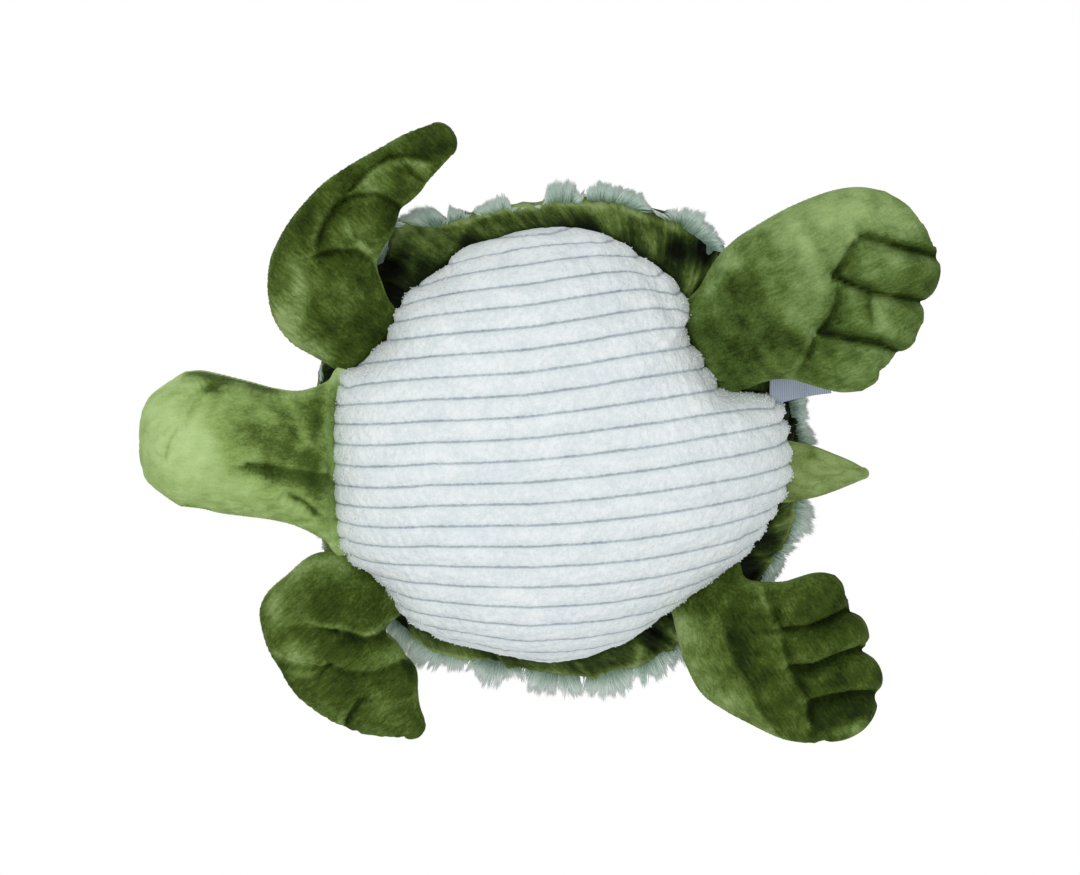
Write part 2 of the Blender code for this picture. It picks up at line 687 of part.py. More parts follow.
def spun_solid(profile):
    """Solid of revolution about Z through (radius, height) points from top to bottom."""
    mesh_builder = bmesh.new()
    loops = [add_ring(mesh_builder, round_ring(radius, height)) for radius, height in profile]
    for upper, lower in zip(loops, loops[1:]):
        join_spun(mesh_builder, upper, lower)
    return mesh_builder


def join_spun(mesh_builder, upper, lower):
    """Joins two rings of a turned solid, either of which may be a point on the axis."""
    count = max(len(upper), len(lower))
    for index in range(count):
        after = (index + 1) % count
        corners = [
            upper[index % len(upper)], upper[after % len(upper)],
            lower[after % len(lower)], lower[index % len(lower)],
        ]
        unique = [corner for place, corner in enumerate(corners) if corner not in corners[:place]]
        mesh_builder.faces.new(unique)


def eye_frames(limb):
    """Place and outward direction of each eye on the head skin."""
    solid = solid_from_rings(limb.outer_rings(), cap_strip, cap_strip)
    bmesh.ops.recalc_face_normals(solid, faces=solid.faces)
    tree = BVHTree.FromBMesh(solid)
    fullest = limb.full_shares.index(max(limb.full_shares))
    centre = Vector(limb.station_ring(fullest, 0, 0, 0).mean(axis=0))
    frames = {}
    for side, sign in (("left", 1), ("right", -1)):
        rise = math.radians(EYE_ELEVATION)
        turn = math.radians(EYE_FORWARD_TURN)
        across = sign * math.cos(rise) * math.cos(turn)
        direction = Vector((across, -math.cos(rise) * math.sin(turn), math.sin(rise)))
        place, normal, _, _ = tree.ray_cast(centre, direction)
        frames[side] = (place, (normal + direction).normalized())
    solid.free()
    return frames


def frame_matrix(place, direction):
    """Matrix that puts +Z along a direction at a place."""
    return Matrix.Translation(place) @ direction.to_track_quat("Z", "Y").to_matrix().to_4x4()


def eye_profile():
    """Dome, flange and shank of a safety eye, from the top down its outer side."""
    base = EYE_SEAT_CLEARANCE
    dome = []
    for step in range(EYE_DOME_STEPS):
        turn = math.pi / 2 * step / EYE_DOME_STEPS
        height = base + EYE_FLANGE + EYE_HEIGHT * math.cos(turn)
        dome.append((EYE_RADIUS * math.sin(turn), height))
    rim = [(EYE_RADIUS, base + EYE_FLANGE), (EYE_RADIUS, base)]
    shank = [(SHANK_RADIUS, base), (SHANK_RADIUS, -SHANK_LENGTH), (0, -SHANK_LENGTH)]
    return dome + rim + shank


def cutter_object(name, radius, top, bottom, matrix):
    """Round cutter that is left out of the model."""
    profile = [(0, top), (radius, top), (radius, bottom), (0, bottom)]
    mesh_builder = spun_solid(profile)
    mesh_builder.transform(matrix)
    bmesh.ops.recalc_face_normals(mesh_builder, faces=mesh_builder.faces)
    mesh = bpy.data.meshes.new(name)
    mesh_builder.to_mesh(mesh)
    mesh_builder.free()
    cutter = bpy.data.objects.new(name, mesh)
    cutter.hide_render = True
    cutter.display_type = "WIRE"
    bpy.context.collection.objects.link(cutter)
    return cutter


def cut(item, cutter):
    """Takes a cutter's shape out of an object."""
    modifier = item.modifiers.new(cutter.name, "BOOLEAN")
    modifier.operation = "DIFFERENCE"
    modifier.solver = "EXACT"
    modifier.object = cutter


def build_eyes(limb, skin, stuffing, eye_material, washer_material):
    """Both safety eyes with their washers, their holes and their pockets in the filling."""
    for side, (place, direction) in eye_frames(limb).items():
        matrix = frame_matrix(place, direction)
        eye = spun_solid(eye_profile())
        eye.transform(matrix)
        add_object(f"eye_{side}", eye, eye_material, limb.hinge())
        top = -(SKIN_SEAM_WIDTH + WASHER_CLEARANCE)
        bottom = top - WASHER_THICKNESS
        bore = SHANK_RADIUS + SHANK_CLEARANCE
        mesh_builder = bmesh.new()
        section = ((WASHER_RADIUS, top), (WASHER_RADIUS, bottom), (bore, bottom), (bore, top))
        loops = [add_ring(mesh_builder, round_ring(*place)) for place in section]
        for first, second in zip(loops, loops[1:] + loops[:1]):
            bridge(mesh_builder, first, second)
        mesh_builder.transform(matrix)
        add_object(f"eye_washer_{side}", mesh_builder, washer_material, limb.hinge())
        hole = cutter_object(f"hole_{side}", bore, OVERRUN, -OVERRUN * 2, matrix)
        cut(skin, hole)
        pocket_radius = WASHER_RADIUS + POCKET_CLEARANCE
        pocket_floor = -(SHANK_LENGTH + POCKET_CLEARANCE)
        pocket = cutter_object(f"pocket_{side}", pocket_radius, OVERRUN, pocket_floor, matrix)
        cut(stuffing, pocket)


def build_care_label(material):
    """Bare ribbon folded in two, sewn in at a corner of the belly seam."""
    corner = np.array(LABEL_CORNER_SHARES) * BELLY_RADIUS
    near = corner[1] + LABEL_CLEARANCE
    left = corner[0] - LABEL_CLEARANCE
    rise = math.radians(LABEL_RISE)
    way = np.array((0, math.cos(rise), math.sin(rise)))
    up = np.array((0, -math.sin(rise), math.cos(rise)))
    root = np.array((left, near, SEAM_HEIGHT))
    across = np.array((1.0, 0, 0))
    half = LABEL_FOLD_GAP / 2
    outer = half + LABEL_RIBBON
    inner_end = LABEL_LENGTH - LABEL_RIBBON
    section = [
        (0, outer), (inner_end, outer), (LABEL_LENGTH, half),
        (LABEL_LENGTH, -half), (inner_end, -outer), (0, -outer),
        (0, -half), (inner_end - LABEL_RIBBON, -half),
        (inner_end - LABEL_RIBBON, half), (0, half),
    ]
    mesh_builder = bmesh.new()
    loops = []
    for share in (0, 1):
        base = root + across * LABEL_WIDTH * share
        loops.append(add_ring(mesh_builder, [base + way * a + up * b for a, b in section]))
    bridge(mesh_builder, loops[0], loops[1])
    for loop in loops:
        mesh_builder.faces.new(loop)
    origin = root + across * LABEL_WIDTH / 2
    return add_object("care_label", mesh_builder, material, tuple(origin))


def main():
    """Builds the whole turtle."""
    clear_scene()
    fibre = make_material("polyester_fibre", FIBRE_WHITE, FABRIC_ROUGHNESS)
    olive = make_material("olive_velour", FLIPPER_OLIVE, FABRIC_ROUGHNESS)
    foot_olive = make_material("foot_velour", FOOT_OLIVE, FABRIC_ROUGHNESS)
    head_green = make_material("head_velour", HEAD_GREEN, FABRIC_ROUGHNESS)
    tail_green = make_material("tail_velour", TAIL_GREEN, FABRIC_ROUGHNESS)
    thread = make_material("thread", THREAD_OLIVE, FABRIC_ROUGHNESS)
    eye_black = make_material("eye_plastic", EYE_BLACK, EYE_ROUGHNESS)
    washer = make_material("washer_plastic", WASHER_WHITE, PLASTIC_ROUGHNESS)

    build_belly_panel(make_material("belly_corduroy", BELLY_WHITE, FABRIC_ROUGHNESS))
    build_shell_rim(make_material("rim_velour", FLIPPER_OLIVE, FABRIC_ROUGHNESS))
    build_shell_cover(make_material("shell_fur", FUR_SAGE, FABRIC_ROUGHNESS))
    build_body_stuffing(fibre)

    limbs = make_limbs()
    build_limb(limbs["front_left"], "front_left_flipper", olive, fibre)
    build_limb(limbs["front_right"], "front_right_flipper", olive, fibre)
    build_limb(limbs["rear_left"], "rear_left_foot", foot_olive, fibre)
    build_limb(limbs["rear_right"], "rear_right_foot", foot_olive, fibre)
    build_limb(limbs["tail"], "tail", tail_green, fibre)
    build_toe_threads(limbs["rear_left"], "rear_left", thread)
    build_toe_threads(limbs["rear_right"], "rear_right", thread)
    head_skin, head_fill = build_limb(limbs["head"], "head", head_green, fibre)
    build_eyes(limbs["head"], head_skin, head_fill, eye_black, washer)
    build_care_label(make_material("label_satin", LABEL_WHITE, PLASTIC_ROUGHNESS))


main()
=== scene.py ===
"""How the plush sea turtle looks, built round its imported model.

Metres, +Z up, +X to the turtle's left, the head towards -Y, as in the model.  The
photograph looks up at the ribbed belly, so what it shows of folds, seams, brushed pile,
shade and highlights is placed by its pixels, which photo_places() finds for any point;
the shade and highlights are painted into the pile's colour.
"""

import math

import bmesh
import bpy
import numpy as np
from mathutils import Matrix, Vector


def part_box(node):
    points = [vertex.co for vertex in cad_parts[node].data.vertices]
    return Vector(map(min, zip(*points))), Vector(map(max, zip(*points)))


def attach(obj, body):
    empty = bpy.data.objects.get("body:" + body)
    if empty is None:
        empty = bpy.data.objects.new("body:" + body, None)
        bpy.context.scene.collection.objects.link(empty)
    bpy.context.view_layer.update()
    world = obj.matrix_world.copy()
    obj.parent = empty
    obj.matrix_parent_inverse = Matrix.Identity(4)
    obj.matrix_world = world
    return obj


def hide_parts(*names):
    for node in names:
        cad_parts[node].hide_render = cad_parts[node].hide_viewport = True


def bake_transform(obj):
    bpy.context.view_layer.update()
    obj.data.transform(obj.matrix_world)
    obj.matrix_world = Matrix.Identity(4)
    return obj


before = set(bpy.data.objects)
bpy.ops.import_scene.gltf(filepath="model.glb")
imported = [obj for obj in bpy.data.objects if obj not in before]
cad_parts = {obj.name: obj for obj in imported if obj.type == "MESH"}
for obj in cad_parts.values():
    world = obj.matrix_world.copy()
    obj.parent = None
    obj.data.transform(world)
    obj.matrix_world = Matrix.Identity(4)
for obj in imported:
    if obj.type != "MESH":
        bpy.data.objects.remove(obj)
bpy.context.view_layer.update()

MM = 0.001

# Camera: below the belly, leaning to the turtle's left, so that the head is at
# the left of the picture
PHOTO_MIDDLE = np.array((540.0, 437.5))
FOCAL_PIXELS = 2016.0
PHOTO_WIDTH = 1080
SENSOR_WIDTH = 36
CAMERA_DISTANCE = 1.25
CAMERA_LEAN = math.radians(10)
CAMERA_TARGET = np.array((0.0077, -0.013, 0.050))
CAMERA_BACK = np.array((math.sin(CAMERA_LEAN), 0, -math.cos(CAMERA_LEAN)))
CAMERA_UP = np.array((math.cos(CAMERA_LEAN), 0, math.sin(CAMERA_LEAN)))
CAMERA_RIGHT = np.array((0, 1.0, 0))
CAMERA_PLACE = CAMERA_TARGET + CAMERA_DISTANCE * CAMERA_BACK

# Body, as in the model
SEAM_HEIGHT = 0.058
BELLY_FULLNESS = 3.0
SHELL_EDGE_HEIGHT = 0.076
SHELL_TOP_HEIGHT = 0.138
SHELL_FULLNESS = 2.4
SHELL_ROUNDNESS = 0.55
PILE_THICKNESS = 0.009

# Seam round the belly, in pixels of the photograph, from the top on leftwards
BELLY_SEAM = (
    (545, 226), (520, 230), (500, 236), (470, 244), (452, 256), (442, 268), (413, 287),
    (396, 310), (389, 331), (367, 356), (340, 373), (331, 400), (327, 430), (326, 455),
    (327, 480), (331, 510), (338, 540), (351, 560), (373, 573), (389, 591), (403, 614),
    (432, 633), (471, 646), (510, 655), (545, 659), (580, 656), (609, 647), (638, 632),
    (662, 613), (689, 595), (713, 578), (737, 559), (754, 543), (768, 523), (783, 496),
    (792, 470), (791, 445), (786, 419), (780, 401), (757, 391), (727, 388), (703, 358),
    (685, 329), (691, 304), (675, 279), (658, 266), (639, 254), (620, 241), (600, 232),
    (570, 226),
)

# Outer edge of the rim, in pixels, from the head's side on clockwise
RIM_EDGE = (
    (322, 375), (324, 340), (335, 305), (355, 276), (376, 260), (392, 240), (404, 222), (430, 225),
    (457, 219), (500, 212), (545, 205), (600, 200), (640, 207), (682, 223), (722, 252),
    (755, 290), (777, 335), (789, 385), (795, 420), (798, 455), (796, 500), (786, 535),
    (768, 566), (748, 594), (721, 622), (692, 640), (641, 663), (600, 675), (555, 675),
    (520, 667), (485, 662), (450, 652), (420, 640), (395, 622), (365, 598), (340, 570),
    (329, 542), (322, 500), (319, 455), (319, 415),
)

# Edge of the fur past the rim, in pixels, in tufts with gaps between them
FUR_EDGE = (
    (312, 455), (313, 420), (316, 395), (321, 386), (322, 372), (323, 355), (322, 325),
    (328, 295), (345, 262), (366, 240), (388, 224), (403, 214), (415, 207), (430, 204),
    (447, 203), (449, 221), (472, 213), (475, 206), (490, 199), (503, 192), (508, 196),
    (511, 206), (543, 204), (546, 184), (556, 179), (572, 179), (578, 186), (580, 197),
    (585, 188), (597, 179), (610, 182), (628, 188), (644, 193), (646, 200), (654, 211),
    (662, 212), (676, 206), (684, 203), (690, 207), (704, 210), (706, 220), (714, 226),
    (721, 238), (726, 250), (745, 262), (772, 290), (790, 325), (803, 365), (806, 392),
    (806, 422), (814, 429), (816, 440), (811, 449), (812, 475), (807, 497), (814, 506),
    (814, 520), (809, 532), (796, 540), (785, 552), (782, 563), (777, 576), (760, 602),
    (735, 628), (705, 648), (690, 655), (683, 661), (668, 669), (650, 678), (640, 681),
    (636, 672), (631, 685), (625, 691), (600, 692), (575, 693), (550, 691), (530, 690),
    (526, 684), (521, 671), (515, 671), (505, 679), (497, 683), (489, 687), (481, 684),
    (478, 671), (470, 664), (455, 666), (440, 665), (425, 663), (411, 661), (404, 652),
    (396, 640), (372, 622), (348, 598), (332, 575), (326, 556), (324, 542), (318, 525),
    (314, 490),
)
TUFT_MIDDLES = (
    (312, 400), (325, 310), (350, 255), (432, 205), (498, 195), (560, 180), (612, 183),
    (700, 212), (760, 275), (797, 345), (805, 400), (812, 436), (812, 470), (815, 515),
    (790, 562), (750, 615), (700, 652), (662, 672), (610, 691), (556, 691), (490, 686),
    (432, 664), (385, 632), (340, 588), (318, 545), (308, 500), (306, 455),
)
FUR_HEIGHT = 0.082

# Hollows of the rim, painted dark as shade, in pixels: the middle, its size and its depth in
# millimetres
RIM_HOLLOWS = (
    ((388, 268), 20, 7), ((394, 292), 12, 5), ((706, 246), 19, 8), ((676, 252), 13, 7),
    ((590, 226), 15, 3), ((468, 240), 12, 3), ((420, 268), 12, 3), ((750, 575), 18, 6),
    ((770, 545), 14, 5), ((404, 622), 12, 5), ((792, 406), 13, 6), ((794, 420), 10, 6),
    ((795, 432), 9, 5), ((628, 652), 12, 3), ((654, 636), 13, 4.5), ((330, 372), 14, 5),
    ((388, 290), 14, 6), ((400, 262), 12, 4),
)

# Ridges of the rim, in pixels: the line, its width, its height in millimetres and how much
# lighter it is painted, as a highlight
RIM_RIDGES = (
    (((412, 238), (430, 236), (448, 231), (462, 224)), 8, 3.5, 0.04),
    (((466, 224), (458, 240), (446, 256)), 7, 3.0, 0.16),
    (((480, 214), (510, 209), (535, 208)), 6, 2.0, 0.16),
    (((545, 207), (575, 205), (600, 206)), 8, 2.0, 0.26),
    (((600, 206), (606, 220), (612, 236)), 7, 3.0, 0.20),
    (((624, 210), (640, 218), (650, 238), (653, 256)), 8, 3.0, 0.20),
    (((684, 292), (694, 280), (712, 268)), 9, 4.0, 0.26),
    (((634, 668), (641, 648)), 5, 3.0, 0.24),
    (((400, 640), (430, 652), (470, 660)), 6, 1.5, 0.20),
    (((786, 520), (776, 545), (764, 556)), 8, 3.0, 0.20),
)

# One groove between the ribs, in pixels from the head's side to the tail's, and the pitch
# of the ribs at each of its points, in millimetres: the cloth is stretched towards the tail
RIB_LINE = (
    (336, 465), (430, 464), (480, 463), (530, 461), (580, 456), (620, 451), (660, 446),
    (700, 439), (740, 432), (786, 421),
)
RIB_PITCHES = (12.8, 12.85, 13.1, 13.35, 13.6, 13.8, 14.0, 14.2, 14.2, 14.2)
RIB_HEIGHT = 0.0015
# How far the round ends of the ribs stand over the seam
LOBE_LENGTH = 0.0036

# Soft creases across the ribs, in pixels: the line, its depth in millimetres and its width
BELLY_CREASES = (
    (((640, 268), (660, 290), (672, 318)), 1.6, 7),
    (((664, 262), (682, 286), (690, 306)), 1.2, 6),
    (((480, 246), (520, 258), (560, 252)), 1.0, 6),
    (((700, 372), (730, 402), (765, 420)), 1.0, 8),
    (((640, 330), (600, 356), (560, 370)), 0.8, 14),
)


# Small tools

def photo_places(points):
    """Pixels of the photograph, (right, down), that points in space fall on."""
    away = points - CAMERA_PLACE
    ahead = away @ -CAMERA_BACK
    across = PHOTO_MIDDLE[0] + FOCAL_PIXELS * (away @ CAMERA_RIGHT) / ahead
    down = PHOTO_MIDDLE[1] - FOCAL_PIXELS * (away @ CAMERA_UP) / ahead
    return np.stack((across, down), -1)


def plan_places(pixels, height):
    """Plan places of pixels of the photograph, on the level at a height."""
    offset = np.asarray(pixels, float) - PHOTO_MIDDLE
    rays = (
        -CAMERA_BACK * FOCAL_PIXELS
        + CAMERA_RIGHT * offset[..., :1]
        - CAMERA_UP * offset[..., 1:]
    )
    reach = (height - CAMERA_PLACE[2]) / rays[..., 2]
    return CAMERA_PLACE[:2] + rays[..., :2] * reach[..., None]


def unit(vectors):
    """Vectors scaled to a length of 1."""
    return vectors / np.maximum(np.linalg.norm(vectors, axis=-1), 1e-12)[..., None]


def on_circle(turns, reach, *height):
    """Points at bearings and distances from the middle, and at heights if any are given."""
    return np.stack(
        np.broadcast_arrays(np.cos(turns) * reach, np.sin(turns) * reach, *height), -1)


def turned(first, second, angle):
    """The first of two directions that stand square, turned to the second by an angle."""
    return first * np.cos(angle)[..., None] + second * np.sin(angle)[..., None]


def read_grid(grid, row, column):
    """Values of a grid between its rows and columns, by straight-line shares."""
    row_before = np.minimum(row.astype(int), len(grid) - 2)
    column_before = np.minimum(column.astype(int), grid.shape[1] - 2)
    more = (..., *(None,) * (grid.ndim - 2))
    row_share = (row - row_before)[more]
    column_share = (column - column_before)[more]
    near, far = (
        grid[line, column_before] * (1 - column_share)
        + grid[line, column_before + 1] * column_share
        for line in (row_before, row_before + 1)
    )
    return near * (1 - row_share) + far * row_share


def spline(points, places, closed=False):
    """Catmull-Rom curve through points, read at places that count in points."""
    points = np.asarray(points, float)
    count = len(points)
    places = np.asarray(places, float)
    if closed:
        start = np.floor(places).astype(int)
        around = [points[(start + step) % count] for step in (-1, 0, 1, 2)]
    else:
        ends = 2 * points[0] - points[1], 2 * points[-1] - points[-2]
        padded = np.concatenate((ends[0][None], points, ends[1][None]))
        start = np.clip(np.floor(places).astype(int), 0, count - 2)
        around = [padded[start + step] for step in (0, 1, 2, 3)]
    t = (places - start).reshape(places.shape + (1,) * (points.ndim - 1))
    a, b, c, d = around
    return 0.5 * (
        2 * b + (c - a) * t + (2 * a - 5 * b + 4 * c - d) * t**2 + (3 * b - a - 3 * c + d) * t**3
    )


def ripple(points, size, seed, waves=12):
    """Smooth noise of about unit height: plane waves of about one size, summed."""
    draw = np.random.default_rng(seed)
    ways = unit(draw.normal(size=(waves, points.shape[-1])))
    lengths = size * draw.uniform(0.6, 1.6, waves)
    phases = draw.uniform(0, 2 * math.pi, waves)
    total = np.zeros(points.shape[:-1])
    for way, length, phase in zip(ways, lengths, phases):
        total += np.sin(points @ way * (2 * math.pi / length) + phase)
    return total / math.sqrt(waves * 2)


def bell(distance, width):
    """A smooth bump that is 1 at no distance and fades within a width."""
    return np.exp(-((distance / width) ** 2))


def along_line(places, line):
    """Distance of places from a line through points, how far along it they lie, 0 to 1, and
    how far on its right as one walks along it in the picture, 0 to 1 over five pixels."""
    line = np.asarray(line, float)
    nearest = np.full(places.shape[:-1], np.inf)
    along = np.zeros(places.shape[:-1])
    signed = np.zeros(places.shape[:-1])
    for index, (start, end) in enumerate(zip(line, line[1:])):
        way = end - start
        offset = places - start
        share = np.clip((offset @ way) / (way @ way), 0, 1)
        distance = np.linalg.norm(offset - share[..., None] * way, axis=-1)
        on_right = way[0] * offset[..., 1] - way[1] * offset[..., 0] > 0
        closer = distance < nearest
        nearest = np.where(closer, distance, nearest)
        along = np.where(closer, (index + share) / (len(line) - 1), along)
        signed = np.where(closer, np.where(on_right, distance, -distance), signed)
    return nearest, along, np.clip(signed / 5 + 0.5, 0, 1)


def grid_quads(rows, columns, wrapped):
    """Quads of a grid of points, row after row, its rows closed into rings if wrapped."""
    row = np.arange(rows - 1)[:, None]
    column = np.arange(columns if wrapped else columns - 1)[None, :]
    after = (column + 1) % columns
    corners = (row * columns + column, row * columns + after,
               (row + 1) * columns + after, (row + 1) * columns + column)
    return np.stack(np.broadcast_arrays(*corners), -1).reshape(-1, 4)


def add_piece(name, points, faces, material, attributes=(), merged=True):
    """A smooth mesh object at the origin, its doubles merged and its faces turned outwards."""
    mesh = bpy.data.meshes.new(name)
    mesh.from_pydata(points.reshape(-1, 3).tolist(), [], np.asarray(faces, object).tolist())
    for key, values in dict(attributes).items():
        triple = np.ndim(values) == np.ndim(points)
        layer = mesh.attributes.new(key, "FLOAT_VECTOR" if triple else "FLOAT", "POINT")
        layer.data.foreach_set("vector" if triple else "value", values.astype(np.float32).ravel())
    if merged:
        shell = bmesh.new()
        shell.from_mesh(mesh)
        bmesh.ops.remove_doubles(shell, verts=shell.verts, dist=1e-6)
        bmesh.ops.recalc_face_normals(shell, faces=shell.faces)
        shell.to_mesh(mesh)
        shell.free()
    mesh.shade_smooth()
    mesh.materials.append(material)
    item = bpy.data.objects.new(name, mesh)
    bpy.context.scene.collection.objects.link(item)
    return item


# Materials

def colour(code):
    """Linear colour of an sRGB hex value."""
    shares = [int(code[start:start + 2], 16) / 255 for start in (1, 3, 5)]
    linear = [s / 12.92 if s <= 0.04045 else ((s + 0.055) / 1.055) ** 2.4 for s in shares]
    return (*linear, 1.0)


def add_node(tree, kind, inputs=(), **settings):
    """Adds a node with its settings, and fills its inputs with values or other outputs."""
    made = tree.nodes.new("ShaderNode" + kind)
    for name, value in settings.items():
        setattr(made, name, value)
    for key, value in dict(inputs).items():
        if isinstance(value, bpy.types.NodeSocket):
            tree.links.new(value, made.inputs[key])
        else:
            made.inputs[key].default_value = value
    return made


def new_material(name, roughness, sheen=0, sheen_roughness=0.3, sheen_colour="#ffffff",
                 specular=0.5, coat=0, ior=1.5):
    """A Principled material with its even settings, and its node tree."""
    material = bpy.data.materials.new(name)
    material.use_nodes = True
    tree = material.node_tree
    shader = tree.nodes["Principled BSDF"]
    settings = {
        "Roughness": roughness, "Sheen Weight": sheen, "Sheen Roughness": sheen_roughness,
        "Sheen Tint": colour(sheen_colour), "Specular IOR Level": specular,
        "Coat Weight": coat, "IOR": ior,
    }
    for key, value in settings.items():
        shader.inputs[key].default_value = value
    return material, tree, shader


def shades(tree, factor, stops):
    """Colour ramp over a factor, from (place, hex) stops."""
    made = add_node(tree, "ValToRGB", {"Fac": factor})
    ramp = made.color_ramp
    while len(ramp.elements) < len(stops):
        ramp.elements.new(1.0)
    for element, (place, code) in zip(ramp.elements, stops):
        element.position = place
        element.color = colour(code)
    return made.outputs["Color"]


def speckle(tree, place, size, detail=2.0, stretch=None):
    """Noise whose swells are about a size in metres, drawn out along one way if stretched."""
    if stretch:
        place = add_node(tree, "Mapping", {"Vector": place, "Scale": stretch}).outputs["Vector"]
    noise = add_node(tree, "TexNoise", {"Vector": place, "Scale": 1 / size, "Detail": detail})
    return noise.outputs["Fac"]


def weigh(tree, first, second, share):
    """first + (second - 0.5) * share."""
    centred = add_node(tree, "Math", {0: second, 1: 0.5}, operation="SUBTRACT").outputs[0]
    return add_node(
        tree, "Math", {0: centred, 1: share, 2: first}, operation="MULTIPLY_ADD"
    ).outputs[0]


def bump(tree, height, depth, strength=1.0, normal=None):
    """Normals of a height whose unit is a depth in metres."""
    inputs = {"Height": height, "Distance": depth, "Strength": strength}
    if normal is not None:
        inputs["Normal"] = normal
    return add_node(tree, "Bump", inputs).outputs["Normal"]


def paint(tree, shader, factor, stops):
    """Gives a shader the colours of a ramp over a factor."""
    tree.links.new(shades(tree, factor, stops), shader.inputs["Base Color"])


def object_place(tree):
    """Place on the object, in metres."""
    return add_node(tree, "TexCoord").outputs["Object"]


def attribute(tree, name, output="Fac"):
    """What a mesh says of its points under a name."""
    return add_node(tree, "Attribute", attribute_name=name).outputs[output]


def smooth_rise(tree, value, start, end):
    """0 to 1 while a value goes from a start to an end, smoothly."""
    limits = {"Value": value, "From Min": start, "From Max": end}
    return add_node(tree, "MapRange", limits, interpolation_type="SMOOTHSTEP").outputs[0]


def velour(name, stops, sheen_colour, sheen=0.35, patch=0.020, brushed=1.0):
    """Knitted polyester velour: a dense 2 mm pile, cut level, that looks lighter or darker
    as it is brushed, with a soft glow along its edges.  Its colour follows an attribute
    that holds both how the pile lies and the painted shade and highlights of folds,
    hollows and edges.  Its marks follow the lie of the pile, an attribute whose first part
    runs along the brushing."""
    material, tree, shader = new_material(
        name, 0.75, sheen, 0.28, sheen_colour, specular=0.08)
    lie = attribute(tree, "lie", "Vector")
    # Tone of the pile, with its painted shade and highlights
    nap_and_shade = attribute(tree, "nap_and_shade")
    nap_and_shade = weigh(tree, nap_and_shade, speckle(tree, lie, patch, 3.0, (0.7, 1.2, 1.0)), 0.38)
    nap_and_shade = weigh(tree, nap_and_shade, speckle(tree, lie, 0.0055, 3.0, (0.55, 1.4, 1.2)), 0.24)
    # The pile is finer than a pixel, so its brush marks are drawn 2 mm wide and 7 mm long
    streak = speckle(tree, lie, 0.0021, 3.0, (0.28, 1.2, 1.0))
    nap_and_shade = weigh(tree, nap_and_shade, streak, 0.44 * brushed)
    grain = speckle(tree, lie, 0.0011, 2.0, (0.6, 1.0, 1.0))
    nap_and_shade = weigh(tree, nap_and_shade, grain, 0.30)
    paint(tree, shader, nap_and_shade, stops)
    soft = bump(tree, speckle(tree, lie, 0.0055, 3.0, (0.6, 1.3, 1.2)), 0.0014, 0.6)
    fine = bump(tree, streak, 0.0009, 0.7 * brushed, soft)
    tree.links.new(fine, shader.inputs["Normal"])
    return material


def corduroy():
    """Jumbo corduroy plush: 14 mm ribs of fluffy white pile, mottled where the tufts part,
    with a bare grey line about 1.2 mm wide between them."""
    material, tree, shader = new_material(
        "jumbo_corduroy_plush", 0.85, 0.2, 0.5, specular=0.12)
    place = object_place(tree)
    rib = attribute(tree, "rib")
    tuft = speckle(tree, place, 0.0032, 3.0)
    rib = weigh(tree, rib, tuft, 0.07)
    away = add_node(tree, "Math", {0: rib, 1: 0.5}, operation="PINGPONG").outputs[0]
    line = smooth_rise(tree, away, 0.008, 0.085)
    side = smooth_rise(tree, away, 0.0, 0.30)
    patch = speckle(tree, place, 0.020, 3.0)
    streak = speckle(tree, place, 0.009, 3.0, (1.0, 0.45, 1.0))
    tone = weigh(tree, 0.56, tuft, 0.50)
    tone = weigh(tree, tone, speckle(tree, place, 0.0017, 2.0), 0.30)
    tone = weigh(tree, tone, patch, 0.30)
    tone = weigh(tree, tone, streak, 0.36)
    # Painted shade: each rib darker down its flanks towards the grooves
    tone = weigh(tree, tone, side, 0.14)
    tone = weigh(tree, tone, line, 0.50)
    stops = ((0.0, "#8d98a1"), (0.30, "#b6c1c8"), (0.55, "#d3dde1"), (0.80, "#e0e9eb"),
             (1.0, "#f0f5f6"))
    paint(tree, shader, tone, stops)
    hollow = bump(tree, line, 0.0010, 0.5)
    soft = bump(tree, speckle(tree, place, 0.0060, 3.0), 0.0016, 0.7, hollow)
    fine = bump(tree, speckle(tree, place, 0.0020, 3.0), 0.0010, 0.8, soft)
    tree.links.new(fine, shader.inputs["Normal"])
    return material


def fur_material(name, stops):
    """Long-pile faux fur: fine acrylic hairs, dark where they root and pale at their
    frosted tips, in locks of slightly different tone."""
    material, tree, shader = new_material(name, 0.6, 0.2, 0.4, "#e8f2e8", specular=0.3)
    place = object_place(tree)
    value = weigh(tree, attribute(tree, "along"), attribute(tree, "tone"), 0.5)
    value = weigh(tree, value, speckle(tree, place, 0.03, 2.0), 0.35)
    paint(tree, shader, value, stops)
    return material


head_velour = velour(
    "satin_velour_light_green",
    ((0.0, "#2c3f12"), (0.22, "#4c6127"), (0.5, "#88a35a"), (0.75, "#a5c07b"), (1.0, "#b8d190")),
    "#b9d27e", sheen=0.22, brushed=0.45)
flipper_velour = velour(
    "olive_velour",
    ((0.0, "#111b03"), (0.25, "#213009"), (0.5, "#3f5119"), (0.75, "#647a3b"), (1.0, "#8ea368")),
    "#86a044")
foot_velour = velour(
    "olive_velour_paler",
    ((0.0, "#16220a"), (0.25, "#2c3c10"), (0.5, "#536a2f"), (0.75, "#7d965a"), (1.0, "#9ab273")),
    "#93ae55", brushed=0.7)
tail_velour = velour(
    "satin_velour_tail",
    ((0.0, "#34451c"), (0.3, "#5f7236"), (0.6, "#8a9f62"), (1.0, "#a9c07f")),
    "#b9d27e", sheen=0.22, brushed=0.45)
rim_velour = velour(
    "olive_velour_gathered",
    ((0.0, "#070c02"), (0.25, "#18230a"), (0.5, "#36461a"), (0.75, "#5f7337"), (1.0, "#8a9d63")),
    "#7f9a40", sheen=0.30, patch=0.014)
belly_corduroy = corduroy()
